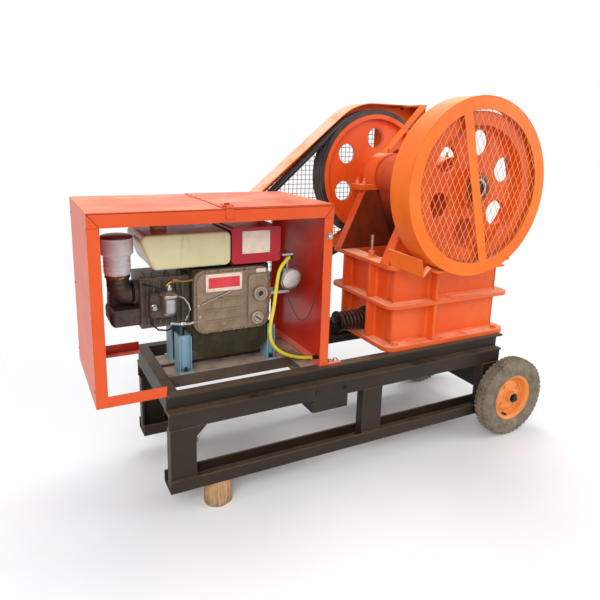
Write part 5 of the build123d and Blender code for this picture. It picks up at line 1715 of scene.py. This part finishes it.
@dataclass
class Enclosure(Assembly):
    """Engine enclosure of sheets in angle bars."""

    left: float = -243.0
    right: float = 669.0
    near: float = 16.0
    far: float = 506.0
    top: float = 1178.0
    frame_bar: float = 40.0
    frame_proud: float = 2.4
    roof_lap: float = 215.0
    lap_rivets: range = range(60, 500, 62)
    hasp_x: float = 238.0
    hasp_ring: Flat = (242.0, 44.0)
    hasp_ring_radius: float = 17.0
    knob: Point = (650.0, 16.0, 1054.0)
    foot_bolts: Flat = (688.0, 718.0)
    foot_top: float = 513.6
    side_screws: tuple[float, ...] = (560.0, 840.0, 1120.0)

    def build(self) -> None:
        """Dress the sheets and add the hasp, knob, bolts and seams."""
        self.dress("case_enamel", "enclosure_left_side", "enclosure_right_side", "enclosure_roof",
                   "near_enclosure_sill", "far_enclosure_sill")
        self.hardware()
        self.seams()

    def hasp(self, bits: Piece) -> None:
        """Hinged plate over the roof's front edge, with a ring through a staple.

        Args:
            bits: the piece it belongs to.
        """
        x, top = self.hasp_x, self.top
        bits.block((x - 19, 8, top), (x + 19, 112, top + 2.5), 0.8)
        bits.block((x - 15, 9.5, top - 40), (x + 15, 13, top + 2), 0.8)
        bits.rod([(x - 14, 8, top + 4), (x + 14, 8, top + 4)], 4.6, 12)
        for y in (76.0, 100.0):
            bits.bolt((x, y, top + 2.5), Axis.Z, 9.0, 3.0, False)
        (ring_x, ring_y), radius = self.hasp_ring, self.hasp_ring_radius
        ring = []
        for turn in map(math.radians, range(0, 360, 15)):
            ring.append((ring_x + radius * math.cos(turn), ring_y + radius * math.sin(turn), top + 7))
        bits.rod(ring, 3.6, 10, True)
        bits.finish("case_gap")
        bits.rod([(x + dx, 46, top + dz) for dx, dz in ((-8, 2), (-8, 13), (8, 13), (8, 2))], 2.8, 8)

    def hardware(self) -> None:
        """Hasp on the roof's front edge, knob on the post, bolts in the feet."""
        bits = self.piece("enclosure_hardware", "case_enamel")
        self.hasp(bits)
        bits.finish("bright_steel")
        knob = [(13, 0), (13, 2.4), (8, 3), (8, 8), (11, 10), (11, 17), (8, 20), (0, 20.5)]
        bits.turned(self.knob, Axis.NEAR, knob, 24)
        for x in self.foot_bolts:
            for y in (self.near + 20, self.far - 20):
                bits.bolt((x, y, self.foot_top), Axis.Z, 16.0, 8.0)
        for z in self.side_screws:
            for y in (self.near + 24, self.far - 24):
                bits.bolt((self.left, y, z), Axis.LEFT, 9.0, 3.0, False)
        bits.done(slot="case_paint")

    def seams(self) -> None:
        """Roof sheet lapped over its neighbour, its front edge, and the frame's mitred corners."""
        seams = self.piece("enclosure_seams", "case_enamel")
        seams.block((self.roof_lap, self.near - 1, self.top),
                    (self.right - 1, self.far + 1, self.top + 3.0), 1.0)
        for y in self.lap_rivets:
            rivet = (self.roof_lap + 9, y, self.top + 2.8)
            seams.turned(rivet, Axis.Z, [(4.2, 0), (4, 1.2), (2.4, 2), (0, 2.2)], 12)
        seams.finish("case_gap")
        line = 3.2
        high, low = self.top - 5, self.top - 49
        for y, out in ((self.near - self.frame_proud, -0.8), (self.far + self.frame_proud, 0.8)):
            seams.block((self.left + 1, y, self.top - 5.5), (self.right - 1, y + out, self.top - 3.0), 0.2)
            for corner, way in ((self.left, 1.0), (self.right, -1.0)):
                mitre = ((1.0, high), (1.0 + line, high), (self.frame_bar, low), (self.frame_bar - line, low))
                seams.prism([(corner + way * away, y, z) for away, z in mitre], (0, out, 0))
        seams.done(slot="case_paint")


@dataclass
class Engine(Assembly):
    """Single-cylinder horizontal diesel with its tank, radiator, filter, lamp and pipes."""

    cover_y: float = 146.0
    cover_edge_y: float = 154.0
    boss_y: float = 130.0
    radiator_y: float = 150.0
    head_y: float = 176.0
    port_y: float = 302.0
    deck: float = 507.3
    starter_hole: Flat = (411.0, 817.0)
    slotted_plug: Flat = (399.0, 717.0)
    drain_plug: Flat = (260.0, 706.0)
    elbow: Point = (-58.0, 289.5, 822.5)
    fuel_filter: Flat = (52.0, 158.0)
    cleaner: Flat = (-110.0, 289.5)
    lamp: Point = (542.0, 162.0, 870.0)
    lamp_way: Point = (0.1685, -0.9556, -0.2419)
    foot_spans: tuple[Flat, ...] = ((91.0, 141.0), (466.0, 500.0))
    foot_faces: Flat = (190.0, 370.0)
    foot_height: float = 150.0
    foot_sheet: float = 5.0
    foot_lip: float = 13.0
    foot_plate: float = 7.0
    foot_bolts: tuple[Flat, Flat] = ((116.0, 483.0), (180.0, 380.0))

    def build(self) -> None:
        """Dress the castings and add covers, pipes and fittings."""
        self.dress("engine_iron", "cylinder_head", "drive_pulley")
        self.dress("shaded_sump_iron", "engine_block")
        self.dress("gear_cover_iron", "gear_cover")
        self.dress("tank_enamel", "fuel_tank")
        self.dress("radiator_enamel", "radiator_box")
        self.dress("foot_enamel", "left_engine_foot", "right_engine_foot")
        self.dress("bright_steel", "head_lamp")
        self.plates()
        self.cover_details()
        self.head_details()
        self.air_cleaner()
        self.filter()
        self.pipes()
        self.lamp_glass()
        self.feet()
        self.hose_end()
        self.intake()

    def intake(self) -> None:
        """Cast port behind the elbow, with its flange and cap screws."""
        port = self.piece("intake_casting", "engine_iron")
        outline = [(-146, 764), (-143, 838), (-128, 862), (-30, 864), (0, 852), (16, 800), (16, 722),
                   (-134, 722)]
        y, middle = self.port_y, 793
        port.prism([(x, y, z) for x, z in outline], (0, 46, 0))
        port.prism([(x * 0.9 - 6, y - 8, middle + (z - middle) * 0.82) for x, z in outline], (0, 10, 0))
        port.finish("black_steel")
        for x, z in ((-118, 745), (-112, 835), (-14, 835), (-8, 745)):
            port.bolt((x, y - 6, z), Axis.NEAR, 13.0, 8.0)
        port.done(slot="engine_iron")

    def hose_end(self) -> None:
        """Ferrule and nut at the lower end of the hose, and the clip at its upper end."""
        end = self.piece("hose_fittings", "black_steel")
        z = HOSE_ROUTE[-1][2]
        end.rod([(640, 99.5, z), (664, 94.5, z)], 9.4, 14)
        end.rod([(664, 94.5, z), (686, 90, z)], 6.0, 12)
        end.turned((668, 93.6, z), Vector((0.98, -0.2, 0.0)), [(6, 0), (10, 1), (10, 11), (6, 12)], 6)
        end.turned((548, 142, 946), Axis.Z, [(8, 0), (10, 1), (10, 13), (8, 14)], 6)
        end.done(slot="engine_iron")

    def plates(self) -> None:
        """Bare plates on the radiator and the gear cover, held by small screws."""
        plates = self.piece("engine_plates", "plate_face")
        radiator_y, cover_y = self.radiator_y, self.cover_y
        plates.block((340, radiator_y - 2.2, 978), (458, radiator_y + 1, 1068), 1.0)
        plates.block((190, cover_y - 2, 838), (338, cover_y + 1, 908), 1.0)
        plates.block((398, cover_y - 1.6, 899), (440, cover_y + 1, 916), 0.8)
        plates.finish("plate_red")
        plates.block((200, cover_y - 2.8, 852), (328, cover_y - 1, 894), 0.8)
        plates.finish("bright_steel")
        for columns, rows, y in (((346, 452), (984, 1062), radiator_y - 2.2),
                                 ((195, 333), (843, 903), cover_y - 2)):
            for x in columns:
                for z in rows:
                    plates.screw((x, y, z), Axis.NEAR)
        plates.done(slot="radiator_paint")

    def cover_details(self) -> None:
        """Screws round the gear cover, the starting hole, the slotted plug and the drain plug."""
        bits = self.piece("gear_cover_details", "gear_cover_iron")
        spots = [(x, z) for x in (196, 250, 304, 358, 412) for z in (675.5, 918.5)]
        spots += [(x, z) for z in (722, 774, 826, 872) for x in (150, 457)]
        for x, z in spots:
            bits.bolt((x, self.cover_edge_y, z), Axis.NEAR, 11.0, 6.0, False)
        bits.finish("boss_iron")
        hole_x, hole_z = self.starter_hole
        plug_x, plug_z = self.slotted_plug
        drain_x, drain_z = self.drain_plug
        collar = [(30, -2), (30, 4), (28, 7), (21, 7), (20, 3), (18, 3), (17, 6), (12, 6), (11, 2), (11, 0)]
        bits.turned((hole_x, self.boss_y, hole_z), Axis.NEAR, collar, 44)
        plug = [(26, -2), (26, 3), (24, 5), (19, 5), (18, 3), (17, 7), (15, 9), (0, 9)]
        bits.turned((plug_x, self.boss_y, plug_z), Axis.NEAR, plug, 40)
        bits.finish("gear_cover_iron")
        drain = [(16, 0), (15, 3), (11, 5), (11, 8), (0, 9)]
        bits.turned((drain_x, self.cover_y, drain_z), Axis.NEAR, drain, 28)
        bits.finish("black_steel")
        bits.turned((hole_x, self.boss_y - 0.5, hole_z), Axis.NEAR, [(13, 0), (7, 0.6), (6, 3), (0, 3.4)], 24)
        slot = Matrix.Translation((plug_x, self.boss_y - 9, plug_z))
        slot = slot @ Matrix.Rotation(math.radians(38), 4, "Y")
        bits.block((-15, -1.4, -2.6), (15, 0.6, 2.6), 0.5, slot)
        bits.finish("bright_steel")
        bits.rod([(172, self.cover_y - 4, 792), (296, self.cover_y - 5, 838)], 2.4, 8)
        for x, z in ((160, 788), (166, 742)):
            bits.bolt((x, self.cover_y + 4, z), Axis.NEAR, 10.0, 5.0, False)
        bits.done(slot="engine_iron")

    def head_details(self) -> None:
        """Studs on the head, the rocker cover, the injector and the flange of the elbow."""
        head = self.piece("head_details", "engine_iron")
        for x in (-30, 10, 60, 110):
            head.bolt((x, 230.0, 900.0), Axis.Z, 16.0, 10.0, True, 10.0)
        head.block((-30, self.head_y, 742), (40, self.head_y + 28, 846), 10.0)
        for x, z in ((-20, 754), (30, 754), (-20, 834), (30, 834)):
            head.bolt((x, self.head_y, z), Axis.NEAR, 11.0, 6.0)
        head.finish("black_steel")
        head.turned(self.elbow, Axis.LEFT, [(43, 0), (50, 1), (52, 5), (43, 8)], 36)
        x, y, z = self.elbow
        for dy, dz in ((0, 46), (40, -24), (-40, -24)):
            head.bolt((x + 1, y + dy, z + dz), Axis.LEFT, 12.0, 7.0)
        head.finish("bright_steel")
        injector = [(12, 0), (12, 12), (8, 14), (8, 26), (0, 27)]
        head.turned((-4.0, self.head_y, 796.0), Axis.NEAR, injector, 20)
        head.done(slot="engine_iron")

    def air_cleaner(self) -> None:
        """Ribbed can with a wider white drum, a cap darkened with painted shade and a painted red reflection
        of the roof, and a brass clamp.
        """
        can = self.piece("air_cleaner_dressed", "cleaner_shell")
        (x, y), centre = self.cleaner, (*self.cleaner, 0.0)
        can.finish("engine_iron")
        can.turned(centre, Axis.Z, [(0, 870.3), (40, 870.3), (42, 876), (42, 899), (0, 899)], 44)
        can.finish("cleaner_shell")
        line = [(0, 897), (44, 897), (45, 906), (49, 912)]
        for z in (928, 945, 962):
            line += [(50, z - 3), (48, z - 1), (48, z + 1), (50, z + 3)]
        line += [(50, 978), (57, 983), (61, 988), (61.5, 994), (61.5, 1032), (60.5, 1036), (61.5, 1040),
                 (61.5, 1046)]
        can.turned(centre, Axis.Z, line, 56)
        can.finish("cleaner_cap_shade_and_reflection")
        can.turned(centre, Axis.Z, [(61.5, 1046), (60, 1051), (52, 1055.5), (30, 1058.4), (0, 1058.9)], 56)
        can.finish("old_brass")
        can.turned(centre, Axis.Z, [(42, 893), (46.6, 894), (46.6, 904), (45, 905.4), (44, 905)], 48)
        can.block((x - 8, y - 57, 893), (x + 8, y - 44, 905), 2.0)
        can.finish("bright_steel")
        can.bolt((x + 8, y - 52, 899), Axis.X, 8.0, 5.0, False)
        can.done(slot="cleaner_plastic", replaces=["air_cleaner"])

    def filter(self) -> None:
        """Fuel filter with its bowl, flared cap and bracket."""
        unit = self.piece("fuel_filter", "bright_steel")
        x, y = self.fuel_filter
        bowl = [(0, 757), (13, 758), (24, 766), (29, 780), (30, 826), (32, 832), (37, 836), (38, 846),
                (33, 851), (20, 858), (12, 862), (11, 872), (0, 873)]
        unit.turned((x, y, 0), Axis.Z, bowl, 44)
        unit.bolt((x, y, 872.0), Axis.Z, 15.0, 8.0, False)
        unit.finish("engine_iron")
        unit.block((x - 10, y + 20, 834), (x + 10, 205, 846), 2.0)
        unit.done(slot="lamp_metal")

    def pipes(self) -> None:
        """Fuel and injector pipes with their unions."""
        pipes = self.piece("engine_pipes", "old_brass")
        pipes.rod(FEED_PIPE, 5.0, 12)
        pipes.turned((52, 158, 880), Axis.Z, [(8, 0), (8, 12), (5, 14), (0, 14)], 6)
        pipes.turned((72, 150, 896), Axis.X, [(8, -9), (9, -8), (9, 8), (8, 9)], 6)
        pipes.finish("bright_steel")
        pipes.rod(INJECTOR_PIPE, 3.2, 10)
        pipes.rod(PUMP_PIPE, 7.0, 12)
        pipes.turned((100, 151.6, 721.6), Axis.X, [(10, -8), (11, -6), (11, 6), (10, 8)], 6)
        pipes.turned((62, 156.4, 726), Axis.LEFT, [(9, -4), (9, 10), (6, 12), (0, 12)], 6)
        pipes.finish("black_steel")
        pipes.rod(LEAK_PIPE, 3.4, 10)
        pipes.rod(LEVER_ROD, 3.0, 10)
        pipes.done(slot="engine_iron")

    def lamp_glass(self) -> None:
        """Fluted glass in a bezel."""
        glass = self.piece("lamp_glass", "lamp_glass")
        way = Vector(self.lamp_way)
        face = Vector(self.lamp) + way * 31.0
        glass.turned(tuple(face), way, [(43, 0), (40, 4), (30, 8), (16, 10.4), (0, 11)], 44)
        glass.finish("bright_steel")
        glass.turned(tuple(face), way, [(46, -3), (50.4, -2), (50.4, 3), (47, 5), (42.6, 4), (42.6, 0)], 44)
        glass.done(slot="lamp_metal")

    def feet(self) -> None:
        """Front lips and base plates of the channel feet, and the bolts through them."""
        feet = self.piece("engine_foot_lips", "foot_enamel")
        seat, top, sheet = self.deck + self.foot_plate, self.deck + self.foot_height, self.foot_sheet
        for x0, x1 in self.foot_spans:
            for y, out in zip(self.foot_faces, (-self.foot_lip, self.foot_lip)):
                for x in (x0, x1 - sheet):
                    feet.block((x, y, self.deck), (x + sheet, y + out, top), 1.0)
                feet.block((x0 - 7, y, self.deck), (x1 + 7, y + out * 2, seat), 1.5)
        feet.finish("black_steel")
        columns, rows = self.foot_bolts
        for x in columns:
            for y in rows:
                feet.bolt((x, y, seat), Axis.Z, 13.0, 8.0, True, 6.0)
        feet.done(slot="foot_paint")


@dataclass
class Cord:
    """A hanging hose or cable that runs through the layout points of its route."""

    shop: Shop
    name: str
    node: str
    finish: str
    diameter: float
    length: float
    route: list[Point]

    def build(self) -> None:
        curve = bpy.data.curves.new(self.name, "CURVE")
        curve.dimensions = "3D"
        curve.bevel_depth = self.diameter * MM / 2
        curve.bevel_resolution = 4
        curve.resolution_u = 10
        curve.use_fill_caps = True
        spline = curve.splines.new("NURBS")
        spline.points.add(len(self.route) - 1)
        for point, place in zip(spline.points, self.route):
            point.co = (*at(*place), 1.0)
        spline.order_u = 3
        spline.use_endpoint_u = True
        curve.materials.append(self.shop[self.finish])
        thing = bpy.data.objects.new(self.name, curve)
        bpy.context.scene.collection.objects.link(thing)
        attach(thing, "root")
        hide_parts(self.node)
        tuple(at(*self.route[0]))
        LOG.info("%s: cord", self.name)


@dataclass(frozen=True)
class Lamp:
    """A round soft light, in metres and watts of the frame."""

    name: str
    place: Point
    size: float
    power: float


@dataclass
class Studio:
    """Camera, lights, pale floor and pale surroundings."""

    eye: Point = (-447.7, -1834.0, 1436.5)
    yaw: float = -0.4842
    pitch: float = -0.2264
    roll: float = 0.0289
    focal: float = 555.7
    frame_px: float = 600.0
    centre_y: float = 263.3
    sensor: float = 36.0
    sky: Colour = (0.93, 0.96, 1.0)
    sky_strength: float = 0.62
    floor_half: float = 14.0
    floor_fade: Flat = (1.2, 2.6)
    target: Point = (0.0, -0.1, 0.7)
    lights: tuple[Lamp, ...] = (
        Lamp("key", (-3.3, -4.2, 3.4), 3.2, 180.0),
        Lamp("fill", (4.4, -3.0, 2.6), 3.0, 80.0),
        Lamp("over", (0.4, 1.2, 5.2), 3.4, 110.0),
    )

    def build(self) -> None:
        """Set up everything round the machine."""
        bpy.context.scene.view_settings.view_transform = "Standard"
        self.camera()
        self.world()
        self.floor()
        self.lamps()

    def camera(self) -> None:
        """A camera where the photograph was taken from."""
        data = bpy.data.cameras.new("camera")
        data.sensor_width = self.sensor
        data.lens = self.sensor * self.focal / self.frame_px
        data.shift_y = (self.centre_y - self.frame_px / 2) / self.frame_px
        data.dof.use_dof = False
        thing = bpy.data.objects.new("camera", data)
        flat = Vector((-math.sin(self.yaw), math.cos(self.yaw), 0))
        right = Vector((math.cos(self.yaw), math.sin(self.yaw), 0))
        up = Vector((0, 0, 1))
        ahead = flat * math.cos(self.pitch) + up * math.sin(self.pitch)
        over = up * math.cos(self.pitch) - flat * math.sin(self.pitch)
        side = right * math.cos(self.roll) + over * math.sin(self.roll)
        over = over * math.cos(self.roll) - right * math.sin(self.roll)
        turn = Matrix((side, over, -ahead)).transposed().to_4x4()
        thing.matrix_world = Matrix.Translation(at(*self.eye)) @ turn
        bpy.context.scene.collection.objects.link(thing)
        bpy.context.scene.camera = thing

    def world(self) -> None:
        """Even pale light from all round, white where the camera looks past the machine."""
        world = bpy.data.worlds.new("surroundings")
        bpy.context.scene.world = world
        world.use_nodes = True
        nodes = Nodes(world.node_tree, "ShaderNodeOutputWorld")
        light = nodes.node("ShaderNodeBackground", {}, {"Color": self.sky, "Strength": self.sky_strength})
        white = nodes.node("ShaderNodeBackground", {}, {"Color": (1.0, 1.0, 1.0), "Strength": 1.0})
        camera, glossy, through = (nodes.node("ShaderNodeLightPath", {}, {}, f"Is {kind} Ray")
                                   for kind in ("Camera", "Glossy", "Transmission"))
        seen = camera.larger(glossy).larger(through)
        nodes.put(nodes.surface, nodes.node("ShaderNodeMixShader", {}, {0: seen, 1: light, 2: white}))

    def floor(self) -> None:
        """A wide pale floor that keeps the machine's shadow."""
        mesh = bpy.data.meshes.new("floor")
        half = self.floor_half
        corners = [(-half, -half, 0), (half, -half, 0), (half, half, 0), (-half, half, 0)]
        mesh.from_pydata(corners, [], [[0, 1, 2, 3]])
        board = Board("floor_pale")
        speck = board.noise(3.0, 3.0, 0.5)
        tone = board.mixed(speck, (0.9, 0.9, 0.9), (0.93, 0.93, 0.93))
        board.wire(Base_Color=tone, Roughness=0.95)
        away = board.vectors("LENGTH", board.place()).step(*self.floor_fade)
        clear = board.node("ShaderNodeBsdfTransparent", {}, {})
        board.put(board.surface, board.node("ShaderNodeMixShader", {}, {0: away, 1: board.coated, 2: clear}))
        mesh.materials.append(board.material)
        thing = bpy.data.objects.new("floor", mesh)
        bpy.context.scene.collection.objects.link(thing)

    def lamps(self) -> None:
        """A large soft key light, a fill and a top light."""
        for lamp in self.lights:
            data = bpy.data.lights.new(lamp.name, "AREA")
            data.shape = "DISK"
            data.size = lamp.size
            data.energy = lamp.power
            thing = bpy.data.objects.new(lamp.name, data)
            thing.location = lamp.place
            way = Vector(self.target) - Vector(lamp.place)
            thing.rotation_euler = way.to_track_quat("-Z", "Y").to_euler()
            bpy.context.scene.collection.objects.link(thing)


def main() -> None:
    """Build the studio, the cords and every sub-assembly."""
    logging.basicConfig(level=logging.INFO, format="%(name)s %(message)s")
    shop = Shop()
    Studio().build()
    Cord(shop, "fuel_hose", "yellow_hose", "hose_plastic", 15.0, 0.61, HOSE_ROUTE).build()
    Cord(shop, "lamp_cable", "throttle_cable", "cable_rubber", 5.0, 0.53, CABLE_ROUTE).build()
    Skid(shop).build()
    for side in Side:
        Wheel(shop, side).build()
    for assembly in (Crusher, FlywheelGuard, BeltGuard, Enclosure, Engine):
        assembly(shop).build()


if __name__ == "__main__":
    main()
